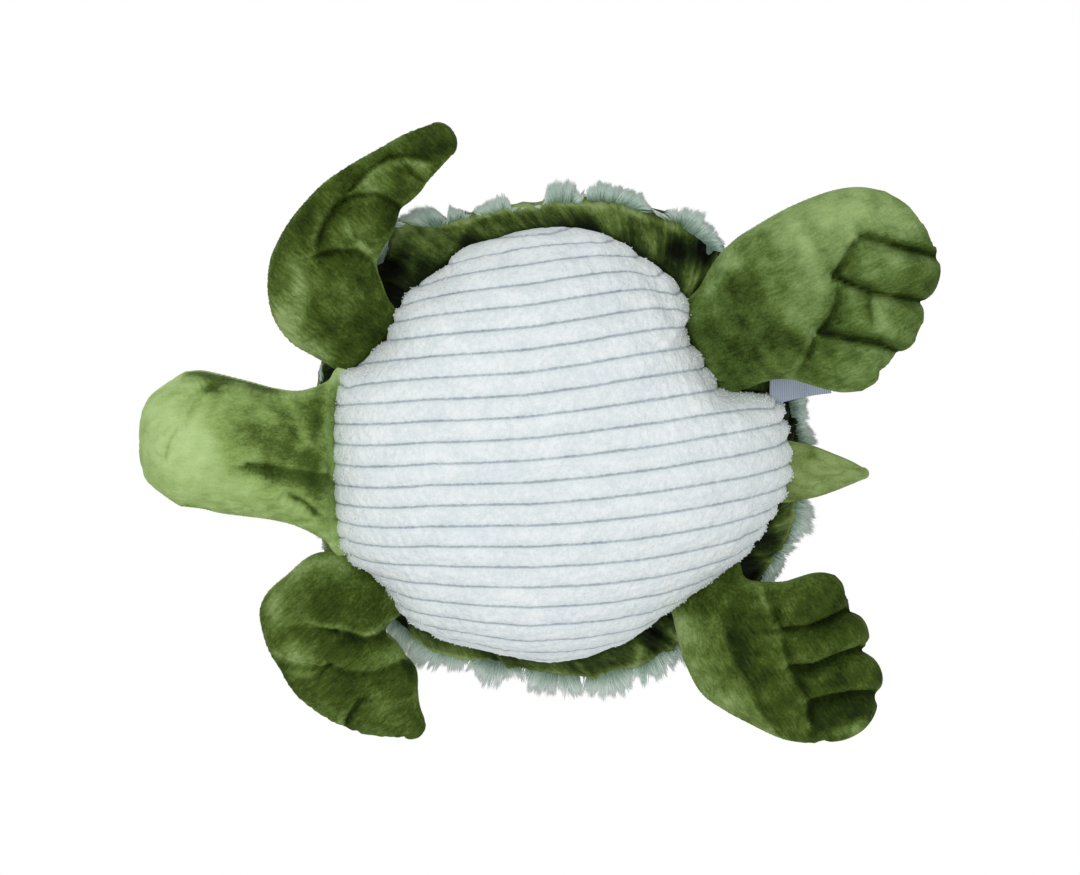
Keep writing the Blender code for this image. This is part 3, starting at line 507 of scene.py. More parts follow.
shell_fur = fur_material(
    "sage_faux_fur",
    ((0.0, "#90b1a0"), (0.22, "#adcbbc"), (0.55, "#c6dfd2"), (0.85, "#daece2"), (1.0, "#ecf5ef")))
belly_pile_material = fur_material(
    "jumbo_corduroy_tufts",
    ((0.0, "#d3dbdf"), (0.35, "#e0e7ea"), (0.65, "#eaf0f1"), (1.0, "#f6f9f9")))
hide_fur = fur_material(
    "sage_fur_backing", ((0.0, "#5b6f60"), (0.5, "#7c9182"), (1.0, "#94aa9a")))


# Body

SEAM_COUNT = 720
seam_turns = np.linspace(0, 2 * math.pi, SEAM_COUNT, endpoint=False)


def bearing_radii(pixels, height, smooth=True):
    """Distance from the middle, on even bearings, of a closed line of the photograph."""
    plan = plan_places(pixels, np.array(height))
    if smooth:
        steps = np.linspace(0, len(pixels), 3000, endpoint=False)
        plan = spline(plan, steps, closed=True)
    bearings = np.arctan2(plan[:, 1], plan[:, 0])
    order = np.argsort(bearings)
    reach = np.linalg.norm(plan, axis=1)[order]
    wrapped = (seam_turns + math.pi) % (2 * math.pi) - math.pi
    return np.interp(wrapped, bearings[order], reach, period=2 * math.pi)


belly_radii = bearing_radii(BELLY_SEAM, SEAM_HEIGHT)
rim_radii = bearing_radii(RIM_EDGE, SHELL_EDGE_HEIGHT)
fur_radii = bearing_radii(FUR_EDGE, FUR_HEIGHT, smooth=False)


def soften(radii, width):
    """Radii on even bearings, averaged round the body over a width in steps."""
    kernel = bell(np.arange(-3 * width, 3 * width + 1), width)
    kernel /= kernel.sum()
    return np.convolve(np.tile(radii, 3), kernel, "same")[len(radii):2 * len(radii)]


soft_belly_radii = soften(belly_radii, 50)
# The ribs' cloth reaches the firm seam at the tail, where it bulges past the soft one
from_tail = np.angle(np.exp(1j * (seam_turns - math.pi / 2)))
rib_radii = soft_belly_radii + bell(from_tail, 0.7) * soften(
    np.maximum(belly_radii - soft_belly_radii, 0), 12)


def at_bearing(turns, radii):
    """Radii kept on even bearings, read at any bearings."""
    places = (turns / (2 * math.pi) * SEAM_COUNT) % SEAM_COUNT
    return np.interp(places, np.arange(SEAM_COUNT), radii, period=SEAM_COUNT)


def shell_reach(turns):
    """Distance of the shell's edge from the middle."""
    return at_bearing(turns, rim_radii)


def belly_rise(share):
    """Share of the seam's height that the belly has gained at a share of the way out to it."""
    return 1 - np.sqrt(np.maximum(1 - share**BELLY_FULLNESS, 0))


def rib_phase(x, y):
    """Ribs counted across the belly from one groove: the length of the cloth from the middle
    line out, less the groove's own distance from it, over the pitch."""
    half, rows, columns = 0.16, 640, 160
    grid_y, grid_x = np.meshgrid(
        np.linspace(-half, half, columns + 1), np.linspace(-half, half, rows + 1))
    reach = at_bearing(np.arctan2(grid_y, grid_x), rib_radii)
    height = SEAM_HEIGHT * belly_rise(np.minimum(np.hypot(grid_x, grid_y) / reach, 0.985))
    length = np.cumsum(np.hypot(np.diff(height, axis=0), np.diff(grid_x, axis=0)), axis=0)
    length = np.concatenate((np.zeros((1, columns + 1)), length))
    length -= length[rows // 2]
    row = np.clip((x + half) / (2 * half) * rows, 0, rows)
    column = np.clip((y + half) / (2 * half) * columns, 0, columns)
    level = np.zeros(len(RIB_LINE))
    # The groove's plan and its height depend on each other, and settle in a few rounds
    for _ in range(4):
        line = plan_places(RIB_LINE, level)
        reach = at_bearing(np.arctan2(line[:, 1], line[:, 0]), rib_radii)
        level = SEAM_HEIGHT * belly_rise(np.minimum(np.linalg.norm(line, axis=1) / reach, 0.97))
    start = np.interp(y, line[:, 1], line[:, 0])
    start = start + 0.0004 * ripple(np.stack((x, y), -1), 0.08, 5)
    pitch = np.interp(y, line[:, 1], np.array(RIB_PITCHES) * MM)
    return (read_grid(length, row, column) - start) / pitch


def build_belly():
    """Ribbed belly dome.  A disc of rows and columns is stretched to the seam; its height
    is seam * (1 - sqrt(1 - share ** fullness)) from the middle out.  Each rib is a round
    crown, and its ends stand a little over the seam."""
    rows, columns = 401, 231
    row_turns = np.linspace(-math.pi / 2, math.pi / 2, rows)[:, None]
    a = np.sin(row_turns) * np.ones(columns)
    b = np.cos(row_turns) * np.linspace(-1, 1, columns)
    share = np.minimum(np.hypot(a, b), 1)
    turns = np.arctan2(b, a)
    firm = at_bearing(turns, belly_radii)
    reach = at_bearing(turns, soft_belly_radii)
    reach = reach + (firm - reach) * share**5
    x, y = a * reach, b * reach
    z = RIB_HEIGHT + (SEAM_HEIGHT - RIB_HEIGHT) * belly_rise(share)
    phase = rib_phase(x, y)
    offset = np.abs(phase - np.round(phase)) * 2
    crown = np.sqrt(np.maximum(1 - (1 - offset) ** 2 * 0.98, 0))
    end_on = np.sin(turns) ** 2
    lobe = crown * end_on * np.clip((share - 0.90) / 0.10, 0, 1) ** 1.5
    inset = 0.0012 + 0.0026 * end_on
    stretch = 1 + (LOBE_LENGTH * lobe - inset) / reach * share**8
    x, y = x * stretch, y * stretch
    crown = 0.15 + 0.85 * crown
    points = np.stack((x, y, z), -1)
    level = np.stack((np.cos(turns), np.sin(turns)), -1)
    slope = (share**6)[..., None]
    outward = unit(np.concatenate((level * slope, -(1.03 - slope)), -1))
    rise = RIB_HEIGHT * crown + 0.30 * MM * ripple(points, 0.0085, 11, 16)
    rise = rise + 0.16 * MM * ripple(points, 0.0040, 13, 30)
    rise = rise + 0.6 * MM * ripple(points, 0.035, 12)
    seen = photo_places(points)
    for line, deep, width in BELLY_CREASES:
        rise = rise - deep * MM * bell(along_line(seen, line)[0], width)
    tuck = np.clip((1 - share) / 0.02, 0, 1) ** 0.5
    rise = rise * (0.55 + 0.45 * tuck)
    points = points + outward * rise[..., None]
    points[..., 2] = np.maximum(points[..., 2], 0.3 * MM)
    # A fan to a point inside the body closes the dome
    ring = np.concatenate((np.arange(rows) * columns,
                           np.arange(rows)[::-1][1:-1] * columns + columns - 1))
    top = rows * columns
    fan = np.stack((ring, np.roll(ring, -1), np.full(len(ring), top)), -1)
    faces = grid_quads(rows, columns, False).tolist() + fan.tolist()
    points = np.concatenate((points.reshape(-1, 3), [[0, 0, SEAM_HEIGHT + 3 * MM]]))
    dome = points[:top].reshape(rows, columns, 3)
    item = add_piece("belly_corduroy_dome", points, faces, belly_corduroy,
                     {"rib": np.append(phase, 0.5)})
    return item, dome, offset * np.clip((share - 0.86) / 0.10, 0, 1) * end_on


def build_belly_pile(dome, frayed):
    """Tufts of the belly's pile at the ends of its ribs, more where the cloth is frayed:
    short spikes that lean any way."""
    tufts = 2800
    draw = np.random.default_rng(14)
    along, across = np.gradient(dome, axis=(0, 1))
    middle = dome.mean(axis=(0, 1)) + np.array((0, 0, 0.02))
    normals = unit(np.cross(along, across))
    normals *= np.sign(((dome - middle) * normals).sum(axis=-1))[..., None]
    spans = np.linalg.norm(across, axis=-1) * np.linalg.norm(along, axis=-1) * frayed
    pick = draw.choice(spans.size, tufts, p=(spans / spans.sum()).ravel())
    roots = dome.reshape(-1, 3)[pick] + draw.normal(0, 0.0004, (tufts, 3))
    normal = normals.reshape(-1, 3)[pick]
    way = draw.normal(0, 1, (tufts, 3))
    way[:, 1] *= 0.6
    way = unit(way - normal * (way * normal).sum(axis=1)[:, None])
    length = draw.uniform(0.0014, 0.0026, (tufts, 1))
    roots = roots - normal * 0.0005
    bends = roots + (normal * 0.75 + way * 0.5) * length * 0.5
    tips = bends + (normal * 0.30 + way * 0.85) * length * 0.5
    tone = draw.normal(0.5, 0.16, tufts)
    return build_strands("belly_corduroy_pile", roots, bends, tips,
                         draw.uniform(0.0008, 0.0014, tufts), tone, belly_pile_material)


belly, belly_dome, belly_frayed = build_belly()
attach(belly, "body")
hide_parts("belly_panel", "body_stuffing")


def build_rim():
    """Gathered band under the shell's edge: a closed section carried round the body, out
    along its puffed face and back inside.  Its gathers are slanting folds of uneven
    width, and its outer edge rolls over."""
    around, out, back = 1500, 34, 8
    mean_radius, deepest = 0.15, 8
    turns = np.linspace(0, 2 * math.pi, around, endpoint=False)[:, None]
    low = at_bearing(turns, belly_radii)
    high = shell_reach(turns) + 0.002
    share = np.concatenate((np.linspace(0, 1, out), np.linspace(1, 0, back + 2)[1:-1]))[None, :]
    face = np.repeat((1.0, 0.0), (out, back))[None, :]
    ring_place = on_circle(turns + 0.10 * share, mean_radius)
    coarse = ripple(ring_place, 0.060, 21, 14)
    folds = 1 - np.abs(ripple(ring_place, 0.034, 22, 14)) * 1.6
    fine = 1 - np.abs(ripple(ring_place, 0.013, 25, 18)) * 1.6
    arch = np.sin(share * math.pi)
    belly_out = arch**0.8
    roll = bell(share - 0.86 - 0.05 * coarse, 0.10)
    reach = low - 0.004 + (high - low + 0.004) * share
    start, end = SEAM_HEIGHT + 0.001, SHELL_EDGE_HEIGHT + 0.005
    height = start + (end - start) * share**1.6 + (1 - face) * 0.005
    puff = belly_out * (0.0034 + 0.0042 * folds + 0.0016 * fine + 0.0026 * coarse)
    puff = (puff + roll * (0.0030 + 0.0016 * fine)) * face
    edge_wave = 0.0018 * coarse + 0.0012 * folds
    points = on_circle(turns, reach + edge_wave * share, height - puff)
    points[..., :2] -= (1 - face)[..., None] * 0.003 * ring_place / mean_radius
    seen = photo_places(points)
    hollow = np.zeros(seen.shape[:-1])
    for place, size, deep in RIM_HOLLOWS:
        near = bell(np.linalg.norm(seen - np.array(place), axis=-1), size)
        hollow = np.maximum(hollow, near * deep / deepest)
    points[..., 2] += hollow * deepest * MM * arch**0.5 * face
    # The rim's tone: painted highlights on the crests of its gathers and on its rolled edge,
    # painted shade along its inner edge by the belly and in its hollows, and random tone
    nap_and_shade = 0.47 + 0.16 * folds * belly_out + 0.13 * fine * belly_out + 0.26 * roll
    nap_and_shade = nap_and_shade - 0.42 * bell(share, 0.24) + 0.12 * ripple(points, 0.03, 24) - 0.9 * hollow
    # Ridges stand out and are painted lighter, as a highlight
    for line, width, tall, lighter in RIM_RIDGES:
        near = bell(along_line(seen, line)[0], width) * face
        points[..., 2] -= tall * MM * near
        nap_and_shade = nap_and_shade + lighter * near
    lie = np.concatenate((2.2 * reach[..., None], ring_place), -1)
    # The last ring is joined to the first
    ring = np.arange(out + back)
    last = (around - 1) * (out + back) + ring
    closing = np.stack((last, np.roll(last, -1), np.roll(ring, -1), ring), -1)
    faces = np.concatenate((grid_quads(around, out + back, True), closing))
    return add_piece("shell_rim_gathered", points, faces, rim_velour, {"nap_and_shade": nap_and_shade, "lie": lie})


rim = build_rim()
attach(rim, "body")
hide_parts("shell_rim")


def hide_height(share):
    """Height of the fur's backing at a share of the way out from the crown."""
    top = SHELL_TOP_HEIGHT - PILE_THICKNESS
    rise = np.maximum(1 - share**SHELL_FULLNESS, 0) ** SHELL_ROUNDNESS
    return SHELL_EDGE_HEIGHT + (top - SHELL_EDGE_HEIGHT) * rise


def hide_reach(turns):
    """Distance of the backing's edge from the middle, just inside the rim."""
    return shell_reach(turns) - 0.001


def hide_points(turns, share):
    """Points of the fur's backing on bearings and shares of the way out."""
    return on_circle(turns, hide_reach(turns) * share, hide_height(share))


def hide_normals(turns, share):
    """Outward normals of the backing and the ways out along it, from small steps."""
    step = 1e-3
    inner = np.clip(share - step, 0.001, 0.997)
    outer = np.clip(share + step, 0.003, 0.999)
    out = unit(hide_points(turns, outer) - hide_points(turns, inner))
    side = hide_points(turns + step, share) - hide_points(turns - step, share)
    return unit(np.cross(out, side)), out


def build_hide():
    """Backing of the fur: the shell's dome, closed below inside the body."""
    around, out = 240, 60
    turns = np.linspace(0, 2 * math.pi, around, endpoint=False)[:, None] * np.ones(out + 1)
    share = np.concatenate((np.sin(np.linspace(0, math.pi / 2, out)), [0.0]))
    share = np.ones((around, 1)) * share
    points = hide_points(turns, share)
    points[:, -1, 2] = SHELL_EDGE_HEIGHT - 0.001
    points = np.swapaxes(points, 0, 1)
    faces = grid_quads(out + 1, around, True)
    size = points.shape[:2]
    return add_piece("shell_hide", points, faces, hide_fur,
                     {"along": np.full(size, 0.4), "tone": np.full(size, 0.5)})


hide = build_hide()
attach(hide, "body")
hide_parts("shell_cover")


def build_strands(name, roots, middles, tips, widths, tone, material):
    """Locks of hair: each a three-sided spike through a root, a middle and a tip."""
    count = len(roots)
    way = unit(middles - roots)
    side = unit(np.cross(way, (0.31, 0.23, 0.92)))
    other = np.cross(way, side)
    points = np.zeros((count, 7, 3))
    for corner in range(3):
        turn = 2 * math.pi * corner / 3
        spread = (side * math.cos(turn) + other * math.sin(turn)) * widths[:, None] / 2
        points[:, corner] = roots + spread
        points[:, 3 + corner] = middles + spread * 0.8
    points[:, 6] = tips
    pattern = np.array((
        (0, 2, 1), (0, 1, 4), (0, 4, 3), (1, 2, 5), (1, 5, 4), (2, 0, 3), (2, 3, 5),
        (3, 4, 6), (4, 5, 6), (5, 3, 6),
    ))
    faces = (np.arange(count)[:, None, None] * 7 + pattern[None]).reshape(-1, 3)
    along = np.tile(np.array((0, 0, 0, 0.55, 0.55, 0.55, 1.0)), count)
    return add_piece(name, points, faces, material,
                     {"along": along, "tone": np.repeat(tone, 7)}, merged=False)


def gathered(points, share):
    """Points of each lock, drawn together to its middle by a share of their distance."""
    return points + (points.mean(axis=1, keepdims=True) - points) * share


def build_dome_fur():
    """Fur over the shell.  Locks stand on a sunflower spiral over the backing; each hair
    leans out and down from the crown, and the hairs of a lock draw together at their tips."""
    locks, hairs, pieces = 1600, 38, 4
    draw = np.random.default_rng(31)
    order = np.arange(locks) + 0.5
    spiral_turns = order * math.pi * (3 - math.sqrt(5))
    centres = hide_points(spiral_turns, 0.985 * np.sqrt(order / locks))
    spread = 0.0062 * np.sqrt(draw.uniform(size=(locks, hairs)))
    bearing = draw.uniform(0, 2 * math.pi, (locks, hairs))
    plan = centres[:, None, :2] + on_circle(bearing, spread)
    turns = np.arctan2(plan[..., 1], plan[..., 0])
    share = np.clip(np.linalg.norm(plan, axis=-1) / hide_reach(turns), 0.004, 0.996)
    roots = hide_points(turns, share)
    normals, out = hide_normals(turns, share)
    swirl = ripple(centres, 0.07, 32)[:, None]
    lean = np.radians(22 + 32 * share**0.6 + 10 * swirl) + draw.normal(0, 0.12, share.shape)
    sway = 0.45 * ripple(centres, 0.05, 33)[:, None] + draw.normal(0, 0.18, share.shape)
    flow = turned(out, np.cross(normals, out), sway)
    length = (0.0150 + 0.0018 * swirl) * draw.uniform(0.82, 1.08, share.shape)
    half = (length * 0.5)[..., None]
    middles = roots + turned(normals, flow, lean * 0.6) * half
    tips = middles + turned(normals, flow, np.minimum(lean * 1.5, 1.45)) * half
    middles = within_edge(gathered(middles, 0.18), 0.90)
    tips = within_edge(gathered(tips, 0.50), draw.uniform(0.80, 1.0, share.shape))
    tone = draw.uniform(0.25, 0.75, (locks, 1)) + draw.normal(0, 0.12, share.shape)
    widths = draw.uniform(0.0008, 0.0012, share.shape)
    places = (values.reshape(pieces, -1, 3) for values in (roots, middles, tips))
    rest = (values.reshape(pieces, -1) for values in (widths, tone))
    return [build_strands(f"shell_fur_{index + 1}", *part, shell_fur)
            for index, part in enumerate(zip(*places, *rest))]


def within_edge(points, share):
    """Points drawn in to the edge of the fur, past the rim by at most a share of it."""
    turns = np.arctan2(points[..., 1], points[..., 0])
    reach = np.linalg.norm(points[..., :2], axis=-1)
    rim = shell_reach(turns)
    limit = rim + np.maximum(at_bearing(turns, fur_radii) - rim, 0.0005) * share
    points = points.copy()
    points[..., :2] *= np.minimum(1, limit / reach)[..., None]
    return points


def build_fringe(index):
    """Fur that hangs past the rim in tufts.  A lock runs from the rim to near the edge of the
    fur, and fans out from the middle of its tuft; its hairs draw together at its tip."""
    locks, hairs = 900, 21
    draw = np.random.default_rng(41 + index)
    plan = plan_places(TUFT_MIDDLES, np.array(FUR_HEIGHT))
    middles = np.arctan2(plan[:, 1], plan[:, 0])
    tip_turns = draw.uniform(0, 2 * math.pi, (locks, 1))
    away = (tip_turns - middles + math.pi) % (2 * math.pi) - math.pi
    nearest = np.abs(away).argmin(axis=1)
    away = away[np.arange(locks), nearest][:, None]
    level = draw.uniform(-0.35, 1, (locks, 1))
    spread = draw.normal(0, 0.010, (locks, hairs))
    root_turns = tip_turns - 0.34 * away + spread
    tip_turns = tip_turns + 0.40 * spread + draw.normal(0, 0.0025, spread.shape)
    level = np.clip(level + draw.normal(0, 0.10, spread.shape), -0.4, 1)
    root_height = SHELL_EDGE_HEIGHT + 0.0005 + 0.014 * np.minimum(level, 0.79 * level)
    root_reach = shell_reach(root_turns) - 0.0010 - 0.0042 * np.abs(level)
    edge = at_bearing(tip_turns, fur_radii)
    share = 0.74 + 0.34 * draw.uniform(0, 1, (locks, 1)) ** 0.6
    share = share - 0.14 * draw.uniform(0, 1, spread.shape) ** 1.5
    tip_reach = root_reach + (edge - root_reach) * share
    tip_height = root_height + 0.0015 - 0.007 * (1 - level)
    tip_height = tip_height + draw.normal(0, 0.0022, (locks, 1))
    tip_height = tip_height + draw.normal(0, 0.0008, spread.shape)
    roots = on_circle(root_turns, root_reach, root_height)
    tips = on_circle(tip_turns, tip_reach, tip_height)
    keep = np.linalg.norm(tips - roots, axis=-1) > 0.003
    roots, tips = roots[keep], tips[keep]
    bends = (roots + tips) / 2 + draw.normal(0, 0.0004, roots.shape)
    bends[:, 2] += 0.0016
    # The fur's tone runs paler towards the turtle's right and darker towards its left
    tone = draw.normal(0.55, 0.20, (locks, 1)) + draw.normal(0, 0.10, spread.shape)
    tone = (tone - 0.30 * np.cos(tip_turns))[keep]
    widths = draw.uniform(0.0007, 0.0011, len(roots))
    return build_strands(
        f"shell_fur_fringe_{index + 1}", roots, bends, tips, widths, tone, shell_fur)


fringes = [build_fringe(index) for index in range(2)]
for fur in [*build_dome_fur(), *fringes]:
    # Scattered light passes through fine hairs, so they don't darken one another
    fur.visible_diffuse = False
    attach(fur, "body")

pile = build_belly_pile(belly_dome, belly_frayed)
# Loose fibre this fine lets the light through to the cloth under it
pile.visible_shadow = False
pile.visible_diffuse = False
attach(pile, "body")


# Limbs, in pixels of the photograph.  Each has two edges from its root seam on, matched
# point for point, and ends in a cap that reaches some pixels or, on a foot, along the line
# of its toes.  "thick", "drop" and "hang" are half its thickness, how far it sinks and the
# power that it sinks by, as in the model.  "full" is the share of the thickness at each
# point of the edges, and "round" the power that rounds its section.  "tuck" is how far the
# root goes into the body and "loose" how far the cloth may move, in metres.

HEAD = {
    "first": ((342, 362), (334, 371), (326, 382), (300, 391), (275, 389), (248, 382),
              (220, 375), (200, 371), (186, 372)),
    "second": ((346, 562), (334, 552), (325, 540), (300, 526), (275, 519), (248, 515),
               (222, 511.5), (204, 507.5), (186, 505)),
    "cap": 44.5, "thick": 0.035, "hang": 4.5, "drop": 0.015, "round": 0.90, "mouth": 0.22,
    "loose": 0.0010, "taper": 0.46, "cap_rings": 46,
    "full": (0.22, 0.44, 0.64, 0.80, 0.90, 0.96, 1.0, 1.0, 0.97),
}
FRONT_LEFT = {
    "first": ((338, 369), (312, 355), (290, 341), (274, 318), (268, 290), (270, 262),
              (277, 243), (289, 222), (305, 202), (325, 182), (350, 165), (378, 149),
              (405, 134), (431, 124)),
    "second": ((392, 308), (387, 296), (382, 283), (378, 272), (377, 263), (379, 256),
               (385, 245), (392, 234), (397, 221), (401, 209), (411, 201), (421, 191),
               (429, 180), (451, 156)),
    "cap": 15, "thick": 0.017, "hang": 3.0, "drop": 0.028, "round": 0.85,
    "full": (0.50, 0.74, 0.92, 1.0, 1.0, 0.97, 0.93, 0.88, 0.83, 0.78, 0.73, 0.68, 0.60, 0.50),
}
FRONT_RIGHT = {
    "first": ((345, 557), (325, 552), (307, 558), (287, 575), (268, 592), (260, 610),
              (263, 632), (270, 652), (281, 671), (295, 692), (315, 709), (339, 723),
              (366, 732), (392, 735), (404, 735)),
    "second": ((399, 617), (391, 622), (386, 629), (388, 637), (396, 642), (401, 648),
               (406, 656), (411, 661), (416, 668), (418, 678), (418, 690), (419, 701),
               (421, 710), (424, 718), (425, 723)),
    "cap": 8, "thick": 0.017, "hang": 3.0, "drop": 0.028, "round": 0.85,
    "full": (0.50, 0.74, 0.92, 1.0, 1.0, 0.97, 0.94, 0.92, 0.90, 0.87, 0.84, 0.80, 0.74,
             0.62, 0.50),
}
REAR_LEFT = {
    "first": ((695, 298), (706, 276), (719, 256), (736, 239), (756, 226), (782, 211),
              (808, 199), (835, 190), (860, 187), (885, 191)),
    "second": ((738, 390), (748, 388), (757, 384), (766, 381), (775, 379), (788, 379),
               (802, 382), (818, 387), (840, 392), (862, 391)),
    "toes": ((885, 191), (906, 204), (921, 219), (932, 236), (937, 248), (936, 257),
             (939, 265), (938, 277), (933, 290), (926, 299), (920, 302), (923, 309),
             (921, 324), (914, 340), (905, 350), (897, 352), (893, 358), (886, 370),
             (876, 382), (862, 391)),
    "tuck": 0.014, "thick": 0.020, "hang": 1.5, "drop": 0.035, "round": 0.80,
    "shade_right": False, "toe_shade": 0.12,
    "full": (0.80, 0.84, 0.87, 0.90, 0.94, 0.97, 1.0, 1.0, 1.0, 1.0),
}
REAR_RIGHT = {
    "first": ((742, 562), (742, 572), (747, 579), (757, 582), (771, 583), (786, 582),
              (799, 578), (812, 574), (824, 573), (835, 575)),
    "second": ((671, 608), (674, 622), (679, 643), (686, 665), (701, 692), (724, 709),
               (750, 723), (775, 735), (794, 740), (815, 740)),
    "toes": ((835, 575), (843, 584), (848, 597), (850, 611), (857, 615), (865, 624),
             (868, 636), (866, 645), (862, 650), (869, 656), (877, 665), (881, 676),
             (880, 687), (875, 695), (876, 705), (872, 716), (862, 728), (846, 737),
             (830, 740), (815, 740)),
    "thick": 0.020, "hang": 1.5, "drop": 0.035, "round": 0.80,
    "shade_right": True, "toe_shade": 0.09,
    "full": (0.50, 0.66, 0.78, 0.86, 0.92, 0.97, 1.0, 1.0, 1.0, 1.0),
}
TAIL = {
    "first": ((786, 440), (800, 443), (814, 446), (832, 453), (850, 460.5), (863, 467.5)),
    "second": ((786, 503), (800, 500), (816, 497), (834, 491), (850, 484.5), (863, 479)),
    "cap": 6, "thick": 0.0075, "hang": 1.8, "drop": 0.0055, "round": 0.9,
    "full": (0.8, 0.95, 1.0, 0.95, 0.85, 0.70),
}
ROOT_HEIGHT = 0.0562
ROOT_TUCK = 0.010

# Folds that the photograph shows on the lower faces: the line in pixels, its depth in
# millimetres at its first and last end, how wide the cloth swells on its left and right,
# in pixels, and its shade: above 0 it lies on the right, below 0 on the left, and the
# further from 0 the darker it is
HEAD_FOLDS = (
    (((246, 466), (258, 467), (285, 471), (327, 477)), 8.0, 3.0, 18, 24, 0.52),
    (((288, 496), (303, 503), (318, 516)), 4.0, 5.0, 12, 10, 0),
    (((165, 460), (170, 444), (177, 430), (190, 416), (204, 400)), 1.8, 1.2, 9, 13, 0),
    (((190, 397), (204, 388), (224, 380)), 2.6, 1.8, 12, 16, 0.6),
    (((224, 379), (250, 385), (284, 392)), 3.0, 3.0, 6, 8, 0),
)
FRONT_LEFT_FOLDS = (
    (((338, 204), (325, 222), (317, 244), (317, 256)), 9.0, 7.0, 10, 22, -0.7),
    (((316, 256), (335, 251), (356, 251), (370, 261), (379, 282)), 9.0, 6.0, 18, 30, 0.6),
    (((338, 204), (356, 196), (375, 195), (388, 200), (402, 209)), 9.5, 6.0, 18, 20, 0.6),
    (((338, 204), (352, 188), (366, 173), (388, 158), (408, 156), (426, 160)),
     6.0, 5.0, 10, 14, -0.6),
    (((402, 160), (410, 172), (424, 182)), 5.0, 5.0, 10, 12, 0),
    (((348, 216), (356, 236), (372, 246)), 1.0, 4.5, 12, 10, 0),
    (((352, 188), (360, 200), (360, 214)), 5.0, 1.0, 8, 8, 0),
)
FRONT_RIGHT_FOLDS = (
    (((294, 628), (312, 631), (335, 632), (352, 637), (364, 641), (378, 638), (390, 626)),
     2.0, 8.0, 26, 20, 1),
    (((300, 622), (318, 630), (336, 633)), 1.5, 7.0, 6, 8, 0),
    (((280, 666), (305, 669), (326, 668), (345, 673), (375, 674), (402, 662)),
     3.5, 4.5, 20, 16, 0.6),
    (((318, 678), (325, 669), (330, 667)), 3.0, 8.0, 8, 8, 0),
    (((346, 722), (352, 712), (359, 702)), 6.5, 5.0, 9, 9, 0.8),
    (((362, 702), (385, 701), (410, 695)), 3.0, 2.0, 14, 14, 0),
    (((285, 656), (300, 662), (322, 664)), 2.0, 4.0, 6, 6, 0),
)
REAR_LEFT_FOLDS = (
    (((862, 238), (853, 248), (845, 262), (835, 277)), 7.0, 9.0, 10, 16, -0.35),
    (((840, 288), (837, 305), (830, 322), (820, 334)), 5.0, 9.0, 10, 15, -0.35),
    (((816, 338), (810, 354), (802, 370), (796, 378)), 6.0, 2.0, 10, 14, -0.35),
    (((872, 296), (871, 308), (875, 322)), 3.0, 0.5, 8, 8, 1),
    (((690, 318), (706, 310), (722, 306)), 2.0, 0.3, 7, 7, 0),
)
REAR_RIGHT_FOLDS = (
    (((764, 590), (768, 602), (776, 618), (782, 629)), 3.0, 8.0, 12, 16, -0.4),
    (((782, 634), (786, 650), (791, 669)), 4.0, 7.0, 14, 16, -0.4),
    (((792, 672), (801, 688), (811, 704), (811, 722)), 3.5, 8.0, 16, 20, -0.7),
    (((750, 632), (766, 632), (782, 631)), 0.5, 5.0, 12, 12, 0),
)
# Stitched channels between the toes, in pixels, from the sole to the edge of the foot
REAR_LEFT_TOES = (
    ((862, 237), (885, 243), (910, 250), (937, 257)),
    ((835, 277), (850, 284), (875, 294), (921, 302)),
    ((821, 333), (850, 340), (880, 345), (897, 352)),
)
REAR_RIGHT_TOES = (
    ((782, 631), (808, 631), (830, 622), (851, 611)),
    ((791, 669), (815, 669), (840, 658), (863, 650)),
    ((811, 704), (832, 700), (852, 696), (876, 695)),
)

# A toe channel's depth in millimetres, and the widths of its hollow, of the dark line of
# painted shade down it and of its wider painted shade, in pixels
TOE_DEPTH = 10.5
TOE_WIDTH = 15
TOE_SHADE_LINE = 2.0
TOE_SHADE = 10

# Puckers along a stitched fold, their pitch in pixels, and gathers along a root seam
PUCKER_DEPTH = 0.0007
PUCKER_PITCH = 8.5
GATHER_PITCH = 0.0075
GATHER_LENGTH = 0.012

# Grid of a limb's skin: rings from its root to its end, those of them in a cap, and the
# points of a ring.  The root draws in over a share of the limb, and a foot's end too.
RINGS = 210
CAP_RINGS = 26
RING_POINTS = 200
ROOT_SHARE = 0.07
TOE_START = 0.78

# Cloth that settles: how far it may move, in how many frames, and how it is set
CLOTH_REACH = 0.004
CLOTH_FRAMES = 20
CLOTH_SETTINGS = {
    "quality": 5, "mass": 0.1, "tension_stiffness": 12, "compression_stiffness": 8,
    "shear_stiffness": 5, "bending_stiffness": 0.12, "use_pressure": True,
    "uniform_pressure_force": 4, "shrink_min": -0.045, "vertex_group_mass": "stitched",
    "pin_stiffness": 1,
}


def crease(distance, width):
    """Cross-section of a stitched crease, 1 at its line: two round swells that meet in it."""
    share = np.clip(1 - distance / width, 0, 1)
    steep = (1 - np.sqrt(1 - (0.97 * share) ** 2)) / (1 - math.sqrt(1 - 0.97**2))
    return 0.45 * steep + 0.55 * share**2


def quarter(share):
    """A quarter circle's height over a share of its radius."""
    return np.sqrt(np.maximum(1 - np.clip(share, 0, 1) ** 2, 0))


